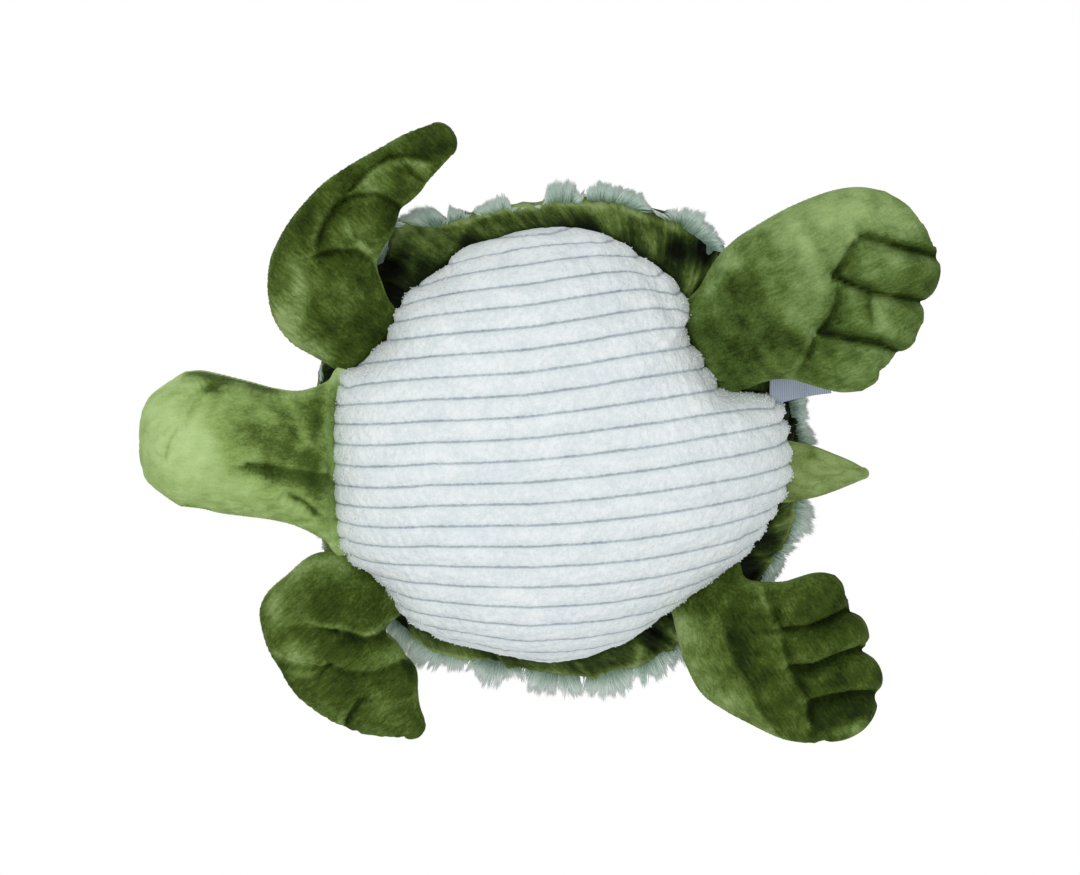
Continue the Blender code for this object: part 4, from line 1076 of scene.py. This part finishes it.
def relax(points, held, reach):
    """Lets a closed grid of stuffed cloth settle under its filling's pressure.

    Every second row and column become Blender cloth a little larger than its shape, held
    where it is stitched, so that it puckers round its seams.  The movement, at most a
    reach, is read back onto the whole grid by straight-line shares between rows.
    """
    rows = np.unique(np.append(np.arange(0, len(points), 2), len(points) - 1))
    columns = np.arange(0, points.shape[1], 2)
    coarse = points[rows][:, columns]
    corners, first, again = np.unique(
        coarse.reshape(-1, 3).round(6), axis=0, return_index=True, return_inverse=True)
    again = again.ravel()
    faces = [list(dict.fromkeys(face))
             for face in again[grid_quads(len(rows), len(columns), True)].tolist()]
    mesh = bpy.data.meshes.new("cloth")
    mesh.from_pydata(corners.tolist(), [], [face for face in faces if len(face) > 2])
    solid = bmesh.new()
    solid.from_mesh(mesh)
    bmesh.ops.recalc_face_normals(solid, faces=solid.faces)
    solid.to_mesh(mesh)
    solid.free()
    item = bpy.data.objects.new("cloth", mesh)
    bpy.context.scene.collection.objects.link(item)
    group = item.vertex_groups.new(name="stitched")
    weights = held[rows][:, columns].ravel()[first]
    for step in range(1, 11):
        chosen = np.flatnonzero(np.round(weights * 10) == step)
        group.add(chosen.tolist(), step / 10, "REPLACE")
    cloth = item.modifiers.new("cloth", "CLOTH")
    for key, value in CLOTH_SETTINGS.items():
        setattr(cloth.settings, key, value)
    cloth.settings.effector_weights.gravity = 0
    scene = bpy.context.scene
    scene.frame_start, scene.frame_end = 1, CLOTH_FRAMES
    for step in range(1, CLOTH_FRAMES + 1):
        scene.frame_set(step)
    settled = item.evaluated_get(bpy.context.evaluated_depsgraph_get()).to_mesh()
    places = np.zeros(len(corners) * 3, np.float32)
    settled.vertices.foreach_get("co", places)
    moved = (places.reshape(-1, 3) - corners)[again].reshape(coarse.shape)
    bpy.data.objects.remove(item)
    scene.frame_set(1)
    size = np.linalg.norm(moved, axis=-1)
    print("cloth moved", round(float(size.mean() / MM), 2), round(float(size.max() / MM), 2))
    moved *= (np.minimum(size, reach) / np.maximum(size, 1e-9))[..., None]
    closed = np.concatenate((moved, moved[:, :1]), axis=1)
    row = np.interp(np.arange(len(points)), rows, np.arange(len(rows)))
    column = np.arange(points.shape[1]) / 2
    return points + read_grid(closed, row[:, None], column[None, :])


def limb_levels(form, places):
    """Height of a limb's middle at places from 0 at its root to 1 at its end: it hangs as
    1 - (1 - place) ** hang of its drop."""
    return ROOT_HEIGHT - form["drop"] * (1 - (1 - np.clip(places, 0, 1)) ** form["hang"])


def cap_width(reach, taper):
    """Share of its full width that a cap has left at shares of its reach: a half ellipse, or,
    if it tapers, straighter sides that draw in and a flatter end."""
    sides = 1 - taper * reach**2 / (reach + 0.08)
    return (sides * np.sqrt(1 - reach ** (2 + 19 * taper)))[:, None]


def limb_plan(form):
    """Plan of a limb's rings, the thickness share of each and the place of each.

    Between the two edges a ring's points lie at offset = -cos(turn).  A cap narrows over its
    reach; a foot's rings bend to the line of its toes as place ** 3.
    """
    turns = np.arange(RING_POINTS) * 2 * math.pi / RING_POINTS
    offset = -np.cos(turns)
    last = len(form["first"]) - 1
    full = np.array(form["full"])
    if "cap" in form:
        caps = form.get("cap_rings", CAP_RINGS)
        places = np.linspace(0, 1, RINGS - caps)
    else:
        places = 1 - (1 - np.linspace(0, 1, RINGS)) ** 1.7
    first = spline(form["first"], places * last)
    second = spline(form["second"], places * last)
    middle = (first + second) / 2
    half = (second - first) / 2
    share = spline(full, places * last)
    if "cap" in form:
        bend = np.linspace(0, math.pi / 2, caps + 1)[1:]
        bend[-1] = math.pi / 2 - 1e-6
        across = half[-1] / np.linalg.norm(half[-1])
        way = middle[-1] - middle[-3]
        way = way - across * (way @ across)
        way /= np.linalg.norm(way)
        middle = np.concatenate((middle, middle[-1] + way * form["cap"] * np.sin(bend)[:, None]))
        half = np.concatenate((half, half[-1] * cap_width(np.sin(bend), form.get("taper", 0))))
        share = np.concatenate((share, share[-1] * np.cos(bend)))
        places = np.concatenate((places, np.ones(caps)))
    seen = middle[:, None] + offset[:, None] * half[:, None]
    if "toes" in form:
        across = (offset + 1) / 2
        toes = spline(form["toes"], across * (len(form["toes"]) - 1))
        chord = form["first"][-1] + across[:, None] * np.subtract(
            form["second"][-1], form["first"][-1])
        seen = seen + (toes - chord)[None] * places[:, None, None] ** 3
        share = share * quarter((places - TOE_START) / (1 - TOE_START))
    levels = limb_levels(form, places)
    return plan_places(seen, levels[:, None]), share, levels, places, turns


def limb_skin(form, folds, toes, nap_and_shade_patches, pile_and_shade_strokes, seed):
    """Stuffed skin of a limb, as a grid of rings.

    Round a ring rise = thickness * share * |sin(turn)| ** round, and near the root seam it
    falls as a quarter circle.  Folds press the lower face, toe channels both faces, and
    soft swells and short gathers at the root vary them.  Also gives the pile's tone: how
    it lies, with painted shade in creases, valleys and toe channels and painted highlights
    on lips, puckers and side edges.
    """
    plan, share, levels, places, turns = limb_plan(form)
    sine = np.sin(turns)
    lower = (sine < 0)[None, :]
    seam = plan[0, [0, RING_POINTS // 2]]
    along = (seam[1] - seam[0]) / np.linalg.norm(seam[1] - seam[0])
    outward = np.array((along[1], -along[0]))
    root = seam.mean(axis=0)
    outward *= np.sign((plan[RINGS // 2].mean(axis=0) - root) @ outward)
    from_root = (plan - root) @ outward
    sideways = (plan - root) @ along
    start = 1 - np.clip(places / ROOT_SHARE, 0, 1)
    share = share * quarter(start)
    plan = plan - outward * (start**2 * form.get("tuck", ROOT_TUCK))[:, None, None]
    thick = form["thick"] * share
    rise = thick[:, None] * np.sign(sine) * np.abs(sine) ** form["round"]
    middle = np.broadcast_to(levels[:, None], rise.shape)
    points = np.concatenate((plan, (middle + rise)[..., None]), -1)
    seen = photo_places(points)
    # A point of the upper face goes by the place of its partner on the lower face
    partner = -np.arange(RING_POINTS) % RING_POINTS
    seen_low = np.where(lower[..., None], seen, seen[:, partner])
    press, dark, light, pucker, shade = (np.zeros(rise.shape) for _ in range(5))
    for line, deep_start, deep_end, left, right, dusk in folds:
        distance, place, right_hand = along_line(seen, line)
        deep = (deep_start + (deep_end - deep_start) * place) * MM
        width = left + (right - left) * right_hand
        press = np.maximum(press, np.where(lower, deep * crease(distance, width), 0))
        strength = np.clip(deep / (7 * MM), 0, 1)
        pixels = place * np.linalg.norm(np.diff(line, axis=0), axis=1).sum()
        wander = 2.0 * ripple(points, 0.02, seed + 7)
        pull = np.sin(pixels * 2 * math.pi / PUCKER_PITCH + wander)
        pucker = pucker + np.where(lower, strength * pull * bell(distance - 4, 7), 0)
        # Painted shade: a dark line down each fold's crease and a wider shade on the side that
        # dusk gives; a painted highlight along the lip on the other side
        dark = np.maximum(dark, np.where(lower, 0.7 * strength * bell(distance, 3.2), 0))
        inner = {1: right_hand, -1: 1 - right_hand, 0: 0}[np.sign(dusk)] * lower
        lip = strength * bell(distance - 5, 4.5) * lower * (1 - inner)
        light = np.maximum(light, lip)
        shade = np.maximum(shade, 0.34 * abs(dusk) * strength * bell(distance, 12) * inner)
    for line in toes:
        distance, place, right_hand = along_line(seen_low, line)
        deep = TOE_DEPTH * MM * np.clip(0.72 + place, 0, 1)
        press = np.maximum(press, deep * crease(distance, TOE_WIDTH))
        # Painted shade: a dark line down each channel and a shade on one side of it, with a
        # painted highlight on the other
        dark = np.maximum(dark, 1.5 * bell(distance, TOE_SHADE_LINE))
        inner = right_hand if form["shade_right"] else 1 - right_hand
        shade = shade + inner * form["toe_shade"] * bell(distance, TOE_SHADE)
        shade = shade - (1 - inner) * 0.14 * bell(distance - 5, 5)
    swell = 1 + 0.045 * ripple(points, 0.060, seed) + 0.04 * ripple(points, 0.024, seed + 1)
    swell = swell + 0.018 * ripple(points, 0.010, seed + 5, 16)
    wander = 1.6 * ripple(points, 0.03, seed + 2)
    gathers = 0.5 + 0.5 * np.sin(sideways * 2 * math.pi / GATHER_PITCH + wander)
    swell = swell - 0.16 * gathers * np.exp(-np.maximum(from_root, 0) / GATHER_LENGTH)
    local = np.maximum(np.abs(rise), 1e-5)
    press = press + PUCKER_DEPTH * pucker
    keep = np.clip(1 - press / local, 0.12, 1.1)
    points[..., 2] = middle + rise * swell * keep
    held = np.clip(press / (6 * MM), 0, 1) + 1.3 * (from_root < 0.002) + bell(from_root, 0.010)
    held = np.clip(held + 0.9 * bell(np.abs(sine), 0.30), 0, 1)
    points = relax(points, held, form.get("loose", CLOTH_REACH))
    nap_and_shade = 0.5 + 0.09 * ripple(points, 0.040, seed + 3) + 0.08 * ripple(points, 0.015, seed + 4)
    for place, size, amount in nap_and_shade_patches:
        distance = np.linalg.norm(seen_low - np.array(place), axis=-1)
        nap_and_shade = nap_and_shade + amount * bell(distance, size) * np.where(lower, 1, 0.4)
    for line, side, width, amount in pile_and_shade_strokes:
        distance, _, right_hand = along_line(seen_low, line)
        covered = {1: right_hand, 0: 1, -1: 1 - right_hand}[side]
        nap_and_shade = nap_and_shade + amount * bell(distance, width) * covered * lower
    # Painted shade deep in pressed valleys, with the folds' and channels' painted shade and dark
    # crease lines, and painted highlights on fold lips and pucker crests
    valley_shade = np.clip(press / (9 * MM), 0, 1) ** 1.5 * lower
    nap_and_shade = nap_and_shade - shade - 0.14 * dark - 0.18 * valley_shade + 0.15 * light + 0.05 * pucker
    # Painted highlight along the limb's side edges, where its two faces meet
    nap_and_shade = nap_and_shade + 0.14 * (1 - np.abs(sine)) ** 2
    if "mouth" in form:
        back = np.clip((places - 0.80) / 0.05, 0, 1)[:, None]
        nap_and_shade = nap_and_shade - 0.75 * bell(sine - form["mouth"], 0.035) * back
    lie = np.concatenate(((points[..., :2] - root) @ np.stack((outward, along), 1),
                          points[..., 2:]), -1)
    return points, {"nap_and_shade": nap_and_shade, "lie": lie}, (root, outward)


def add_limb(body, form, material, folds, toes, nap_and_shade_patches, pile_and_shade_strokes, seed):
    """Makes the skin of a limb, and hides the model's skin, stuffing and toe threads in its
    place."""
    points, pile, (root, outward) = limb_skin(form, folds, toes, nap_and_shade_patches, pile_and_shade_strokes, seed)
    faces = grid_quads(*points.shape[:2], True)
    item = add_piece(f"{body}_stuffed", points, faces, material, pile)
    threads = [body.replace("foot", f"toe_thread_{count + 1}") for count in range(len(toes))]
    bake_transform(item)
    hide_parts(f"{body}_skin", f"{body}_stuffing", *threads)


# Patches where the pile is lighter or darker, partly by how it lies and partly as painted
# shade and highlights, in pixels: the middle, the size and how much
HEAD_NAP_AND_SHADE = (
    ((165, 420), 45, 0.30), ((200, 470), 50, 0.20), ((275, 445), 28, -0.34),
    ((312, 412), 20, -0.24), ((300, 480), 26, -0.22), ((268, 478), 14, -0.20),
    ((250, 390), 30, -0.12), ((212, 385), 14, -0.30), ((270, 505), 35, 0.12),
    ((336, 372), 16, 0.25), ((334, 545), 16, 0.25), ((228, 440), 26, -0.16),
    ((240, 410), 24, -0.08),
)
FRONT_LEFT_NAP_AND_SHADE = (
    ((360, 326), 22, -0.08), ((292, 290), 26, 0.14), ((282, 322), 18, 0.36),
    ((300, 342), 16, 0.26), ((345, 232), 20, 0.10), ((330, 298), 24, 0.10),
    ((388, 176), 20, 0.22), ((362, 198), 14, 0.14), ((438, 144), 16, -0.26),
    ((304, 228), 20, -0.16), ((350, 176), 16, -0.05), ((424, 165), 8, 0.08),
    ((360, 246), 10, 0.22), ((386, 218), 12, -0.10), ((330, 350), 14, 0.15),
)
FRONT_RIGHT_NAP_AND_SHADE = (
    ((300, 572), 24, 0.14), ((350, 600), 24, 0.08), ((270, 600), 14, 0.16),
    ((292, 654), 14, 0.26), ((300, 648), 22, 0.0), ((345, 688), 22, -0.01),
    ((395, 712), 22, 0.08), ((330, 562), 16, 0.14), ((372, 638), 10, 0.16),
    ((322, 712), 14, 0.14), ((380, 660), 16, 0.10), ((410, 668), 8, -0.30),
)
REAR_LEFT_NAP_AND_SHADE = (
    ((852, 205), 40, 0.40), ((790, 235), 38, 0.30), ((900, 225), 26, 0.20),
    ((885, 265), 20, 0.13), ((880, 318), 22, 0.18), ((850, 372), 22, 0.08),
    ((742, 318), 32, -0.16), ((762, 356), 26, -0.18), ((705, 330), 18, -0.12),
    ((770, 290), 24, -0.02), ((812, 300), 16, 0.12), ((730, 262), 16, 0.16),
)
REAR_RIGHT_NAP_AND_SHADE = (
    ((748, 640), 28, -0.16), ((685, 628), 18, 0.34), ((700, 664), 20, 0.36),
    ((728, 700), 22, 0.28), ((762, 722), 16, 0.16), ((752, 672), 16, -0.10),
    ((830, 600), 24, -0.22), ((840, 636), 16, -0.14), ((840, 680), 20, -0.22),
    ((845, 718), 18, -0.20), ((768, 605), 9, 0.18), ((786, 664), 8, 0.06),
    ((858, 732), 10, 0.30), ((792, 700), 14, -0.10),
)
TAIL_NAP_AND_SHADE = (((835, 466), 30, 0.06), ((800, 492), 12, -0.10), ((812, 452), 6, -0.18))

# Strokes of the brushed pile and of painted shade and highlights along folds and hollows,
# in pixels: the line, the side that they cover (1 right, -1 left, 0 both), their width and
# how much lighter or darker they make the pile there
HEAD_PILE_AND_SHADE_STROKES = (
    # Painted shade where the neck dips into the belly's seam
    (((322, 384), (316, 430), (316, 480), (322, 520)), 0, 9, -0.20),
    (((190, 373), (230, 379), (275, 390)), 0, 5, -0.28),
    (((168, 505), (205, 511), (250, 517)), 0, 4, -0.16),
    (((262, 472), (290, 478), (322, 482)), 1, 9, -0.06),
    (((290, 400), (297, 420), (305, 440)), 0, 6, 0.10),
    (((166, 458), (168, 448), (172, 438), (177, 429)), 0, 1.4, -0.22),
    (((188, 414), (196, 402), (206, 393), (224, 383)), 0, 2.6, -0.14),
    (((290, 497), (303, 503), (314, 514)), 0, 3.0, -0.26),
)
FRONT_LEFT_PILE_AND_SHADE_STROKES = (
    (((292, 262), (320, 256), (350, 254), (368, 264)), 0, 8, 0.14),
    (((318, 214), (312, 240), (318, 254)), 0, 5, 0.12),
    (((345, 228), (358, 238), (366, 252)), 0, 5, 0.16),
    (((352, 198), (372, 196), (390, 206)), 1, 6, 0.18),
    (((372, 170), (398, 160), (420, 164)), 0, 6, 0.16),
    (((402, 164), (418, 162), (427, 170)), 0, 4, 0.16),
    (((310, 300), (330, 330), (350, 350)), 0, 4, -0.12),
    (((285, 330), (305, 350), (325, 358)), 0, 8, 0.20),
    (((360, 280), (372, 300), (384, 306)), 0, 4, -0.12),
    (((326, 226), (334, 244)), 0, 7, 0.12),
    (((366, 174), (372, 192)), 0, 8, 0.14),
    (((399, 172), (401, 192)), 0, 5, -0.18),
    (((370, 197), (380, 198), (391, 204)), 0, 4, 0.16),
    (((390, 208), (391, 222)), 0, 5, -0.12),
    (((300, 275), (296, 300), (300, 325)), 0, 6, 0.10),
    (((318, 262), (322, 285), (330, 310)), 0, 5, 0.10),
    (((340, 262), (350, 285), (362, 305)), 0, 4, -0.08),
)
FRONT_RIGHT_PILE_AND_SHADE_STROKES = (
    (((308, 625), (330, 630), (352, 634), (366, 639), (378, 634)), -1, 4, 0.20),
    (((276, 656), (295, 662), (320, 666)), -1, 5, 0.24),
    (((290, 672), (308, 676), (322, 672)), 0, 3, 0.16),
    (((300, 566), (330, 560), (345, 566)), 0, 8, 0.18),
    (((340, 672), (370, 674), (398, 664)), -1, 3, 0.14),
    (((364, 702), (385, 700), (408, 697)), 1, 5, 0.10),
)
REAR_LEFT_PILE_AND_SHADE_STROKES = (
    (((835, 262), (850, 240), (864, 232)), 0, 5, 0.10),
    (((873, 298), (870, 308), (873, 320)), 1, 5, -0.13),
    (((884, 298), (880, 310), (884, 322)), 0, 5, 0.10),
    (((700, 300), (716, 284), (736, 262)), 0, 8, 0.14),
    (((838, 290), (834, 306), (828, 322)), 1, 9, -0.14),
    (((862, 240), (850, 252), (838, 272)), 1, 10, -0.10),
)
REAR_RIGHT_PILE_AND_SHADE_STROKES = (
    (((728, 636), (733, 655), (743, 673), (754, 694), (762, 712), (772, 726)), -1, 13, -0.14),
    (((724, 630), (733, 655), (743, 673), (754, 694), (762, 712), (772, 726)), 1, 16, 0.16),
    (((674, 612), (684, 645), (704, 684), (740, 712)), 0, 9, 0.14),
    (((763, 594), (767, 604), (774, 616)), 0, 4, 0.12),
    (((768, 594), (774, 606), (781, 620)), -1, 6, -0.12),
    (((782, 642), (785, 652)), 0, 4, 0.08),
    (((836, 732), (852, 728), (862, 720)), 0, 5, 0.26),
    (((792, 634), (820, 632), (846, 620)), 0, 3, 0.10),
    (((796, 668), (820, 666), (856, 650)), 0, 3, 0.14),
    (((812, 702), (836, 698), (868, 694)), 0, 3, 0.14),
)

add_limb("head", HEAD, head_velour,
         HEAD_FOLDS, (), HEAD_NAP_AND_SHADE, HEAD_PILE_AND_SHADE_STROKES, seed=60)
add_limb("front_left_flipper", FRONT_LEFT, flipper_velour,
         FRONT_LEFT_FOLDS, (), FRONT_LEFT_NAP_AND_SHADE, FRONT_LEFT_PILE_AND_SHADE_STROKES, seed=70)
add_limb("front_right_flipper", FRONT_RIGHT, flipper_velour,
         FRONT_RIGHT_FOLDS, (), FRONT_RIGHT_NAP_AND_SHADE, FRONT_RIGHT_PILE_AND_SHADE_STROKES, seed=80)
add_limb("rear_left_foot", REAR_LEFT, foot_velour,
         REAR_LEFT_FOLDS, REAR_LEFT_TOES, REAR_LEFT_NAP_AND_SHADE, REAR_LEFT_PILE_AND_SHADE_STROKES, seed=90)
# The right foot takes the flippers' darker olive velour, the left foot a paler olive
add_limb("rear_right_foot", REAR_RIGHT, flipper_velour, REAR_RIGHT_FOLDS,
         REAR_RIGHT_TOES, REAR_RIGHT_NAP_AND_SHADE, REAR_RIGHT_PILE_AND_SHADE_STROKES, seed=100)
add_limb("tail", TAIL, tail_velour, (), (), TAIL_NAP_AND_SHADE, (), seed=110)



# Eyes

def eye_material():
    """Moulded black acrylic safety eye, polished, with a hint of brown in its depth."""
    material, tree, shader = new_material("polished_black_acrylic", 0.07, coat=1.0, ior=1.49)
    place = object_place(tree)
    tone = speckle(tree, place, 0.004, 1.0)
    stops = ((0.0, "#060504"), (1.0, "#120c08"))
    paint(tree, shader, tone, stops)
    return material


def washer_material():
    """Moulded white polyethylene lock washer, with a faint satin grain."""
    material, tree, shader = new_material("moulded_polyethylene", 0.45)
    place = object_place(tree)
    tone = speckle(tree, place, 0.003, 2.0)
    paint(tree, shader, tone, ((0.0, "#dcdcd6"), (1.0, "#ecece8")))
    return material


def node_centre(name):
    """Mean place of a model node's corners."""
    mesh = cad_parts[name].data
    places = np.zeros(len(mesh.vertices) * 3, np.float32)
    mesh.vertices.foreach_get("co", places)
    return np.unique(places.reshape(-1, 3).round(6), axis=0).mean(axis=0)


black_acrylic = eye_material()
white_polyethylene = washer_material()
EYE_RADIUS, EYE_RISE, EYE_LIP = 0.0066, 0.0046, 0.0010
EYE_STEM_RADIUS, EYE_STEM_LENGTH = 0.0017, 0.0085
EYE_FROM_WASHER = 0.00455
EYE_SIDES = 40
eye_turns = np.linspace(0, math.pi / 2, 16)
radii = np.concatenate((
    EYE_RADIUS * np.sin(eye_turns),
    [EYE_RADIUS, EYE_RADIUS * 0.93, EYE_STEM_RADIUS, EYE_STEM_RADIUS, 0]))
heights = np.concatenate((
    EYE_LIP + EYE_RISE * np.cos(eye_turns),
    [EYE_LIP * 0.4, 0, 0, -EYE_STEM_LENGTH, -EYE_STEM_LENGTH]))
eye_around = np.linspace(0, 2 * math.pi, EYE_SIDES, endpoint=False)
eye_rings = on_circle(eye_around, radii[:, None], heights[:, None])
eye_faces = grid_quads(len(radii), EYE_SIDES, True)
for side in ("left", "right"):
    washer = node_centre(f"eye_washer_{side}")
    way = node_centre(f"eye_{side}") - washer
    way /= np.linalg.norm(way)
    seat = washer + way * EYE_FROM_WASHER
    turn = np.array(Vector(way).to_track_quat("Z", "Y").to_matrix())
    eye = add_piece(f"eye_{side}_dome", eye_rings @ turn.T + seat, eye_faces, black_acrylic)
    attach(eye, "head")
    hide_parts(f"eye_{side}")
    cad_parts[f"eye_washer_{side}"].material_slots[0].material = white_polyethylene


# Care label

def label_material():
    """Woven polyester satin ribbon, left bare, with a faint weave, its white painted as a darker
    lavender grey for shade.
    """
    material, tree, shader = new_material("satin_ribbon", 0.42, 0.2, 0.3, specular=0.4)
    place = object_place(tree)
    weave = add_node(tree, "TexWave", {"Vector": place, "Scale": 260.0, "Distortion": 0.5},
                     wave_type="BANDS", bands_direction="Y")
    tone = weigh(tree, weave.outputs["Fac"], speckle(tree, place, 0.01, 2.0), 0.6)
    # Painted shade: the white ribbon coloured a darker lavender grey
    stops = ((0.0, "#8390a8"), (0.5, "#9da8bd"), (1.0, "#b6bfcf"))
    paint(tree, shader, tone, stops)
    normal = bump(tree, weave.outputs["Fac"], 0.0001, 0.5)
    tree.links.new(normal, shader.inputs["Normal"])
    return material


def build_label():
    """Ribbon folded in two and sewn in by both ends: out along its length, round the
    fold and back, with a slight curl across and along it."""
    width, length, gap = 0.020, 0.041, 0.0013
    curl, sag = 0.0028, 0.0011
    rise = math.radians(20)
    along, across = 40, 22
    low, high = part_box("care_label")
    lengths = np.linspace(0, 1, along)
    bend = np.linspace(-math.pi / 2, math.pi / 2, 10)[1:-1]
    out = np.concatenate((
        lengths * length, length + np.cos(bend) * gap / 2, lengths[::-1] * length))[:, None]
    lift = np.concatenate((
        np.full(along, -gap / 2), np.sin(bend) * gap / 2, np.full(along, gap / 2)))[:, None]
    side = np.linspace(0, 1, across)[None, :]
    lift = lift + curl * np.sin(out / length * 2.2) * out / length
    lift = lift - sag * np.cos((side - 0.5) * math.pi) * (out / length) ** 1.5
    # The fold is drawn out to a corner, and the ribbon hangs at a slant
    slant = out * 0.22 - out**2 * 2.2
    reach = np.clip(side / 0.45, 0, 1)
    out = out * (1.06 - 0.30 * reach * reach * (3 - 2 * reach)) - 0.009
    x = low.x + width * side + slant
    y = low.y + 0.0006 + out * math.cos(rise) - lift * math.sin(rise)
    z = SEAM_HEIGHT + out * math.sin(rise) + lift * math.cos(rise)
    points = np.stack((x, y, z), -1)
    faces = grid_quads(len(points), across, False)
    return add_piece("care_label_ribbon", points, faces, label_material())


label = build_label()
thicken = label.modifiers.new("ribbon_thickness", "SOLIDIFY")
thicken.thickness = 0.0003
thicken.offset = 0
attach(label, "label")
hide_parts("care_label")


# Camera, floor and light

def add_camera():
    """The photograph's view."""
    camera = bpy.data.cameras.new("photo_camera")
    camera.sensor_width = SENSOR_WIDTH
    camera.lens = FOCAL_PIXELS / PHOTO_WIDTH * SENSOR_WIDTH
    item = bpy.data.objects.new("photo_camera", camera)
    axes = np.stack((CAMERA_RIGHT, CAMERA_UP, CAMERA_BACK), 1)
    item.matrix_world = Matrix.Translation(CAMERA_PLACE) @ Matrix(axes.tolist()).to_4x4()
    bpy.context.scene.collection.objects.link(item)
    bpy.context.scene.camera = item


def add_floor():
    """Plain pale floor that is seen from above only, as the photograph looks from below."""
    material = bpy.data.materials.new("pale_floor")
    material.use_nodes = True
    tree = material.node_tree
    shader = tree.nodes["Principled BSDF"]
    place = object_place(tree)
    paint(tree, shader, speckle(tree, place, 0.4, 2.0), ((0.0, "#e9e9e8"), (1.0, "#efefee")))
    shader.inputs["Roughness"].default_value = 0.9
    side = add_node(tree, "NewGeometry").outputs["Backfacing"]
    clear = add_node(tree, "BsdfTransparent").outputs[0]
    shown = add_node(tree, "MixShader", {0: side, 1: shader.outputs[0], 2: clear})
    tree.links.new(shown.outputs[0], tree.nodes["Material Output"].inputs["Surface"])
    size = 15.0
    corners = np.array(((-size, -size, 0), (size, -size, 0), (size, size, 0), (-size, size, 0)))
    floor = add_piece("floor", corners, np.array(((0, 1, 2, 3),)), material, merged=False)
    for ray in ("shadow", "diffuse", "glossy", "transmission"):
        setattr(floor, f"visible_{ray}", False)


def add_lamp(name, place, target, size, watts):
    """A soft square lamp at a place, facing a target."""
    lamp = bpy.data.lights.new(name, "AREA")
    lamp.shape = "SQUARE"
    lamp.size = size
    lamp.energy = watts
    item = bpy.data.objects.new(name, lamp)
    item.location = place
    item.rotation_euler = (Vector(target) - Vector(place)).to_track_quat("-Z", "Y").to_euler()
    bpy.context.scene.collection.objects.link(item)


def light_world(ambient):
    """Even pale light from all round, over a white background."""
    world = bpy.data.worlds.new("studio")
    bpy.context.scene.world = world
    world.use_nodes = True
    tree = world.node_tree
    back = tree.nodes["Background"]
    path = add_node(tree, "LightPath")
    seen = path.outputs["Is Camera Ray"]
    for ray in ("Is Glossy Ray", "Is Transmission Ray"):
        either = {0: seen, 1: path.outputs[ray]}
        seen = add_node(tree, "Math", either, operation="MAXIMUM").outputs[0]
    white = add_node(tree, "Background", {"Color": (1, 1, 1, 1), "Strength": 1.0}).outputs[0]
    back.inputs["Color"].default_value = (1, 1, 1, 1)
    back.inputs["Strength"].default_value = ambient
    mixed = add_node(tree, "MixShader", {0: seen, 1: back.outputs[0], 2: white}).outputs[0]
    tree.links.new(mixed, tree.nodes["World Output"].inputs["Surface"])


add_camera()
add_floor()
light_world(0.60)
add_lamp("window_below", (0.48, -0.42, -1.20), (0, 0, 0.04), 1.0, 6.5)
add_lamp("bounce_below", (-0.60, 0.30, -1.05), (0, 0, 0.04), 1.2, 2.9)
add_lamp("window_above", (0.6, -0.9, 1.5), (0, 0, 0.05), 1.4, 11.0)
bpy.context.scene.view_settings.view_transform = "Standard"
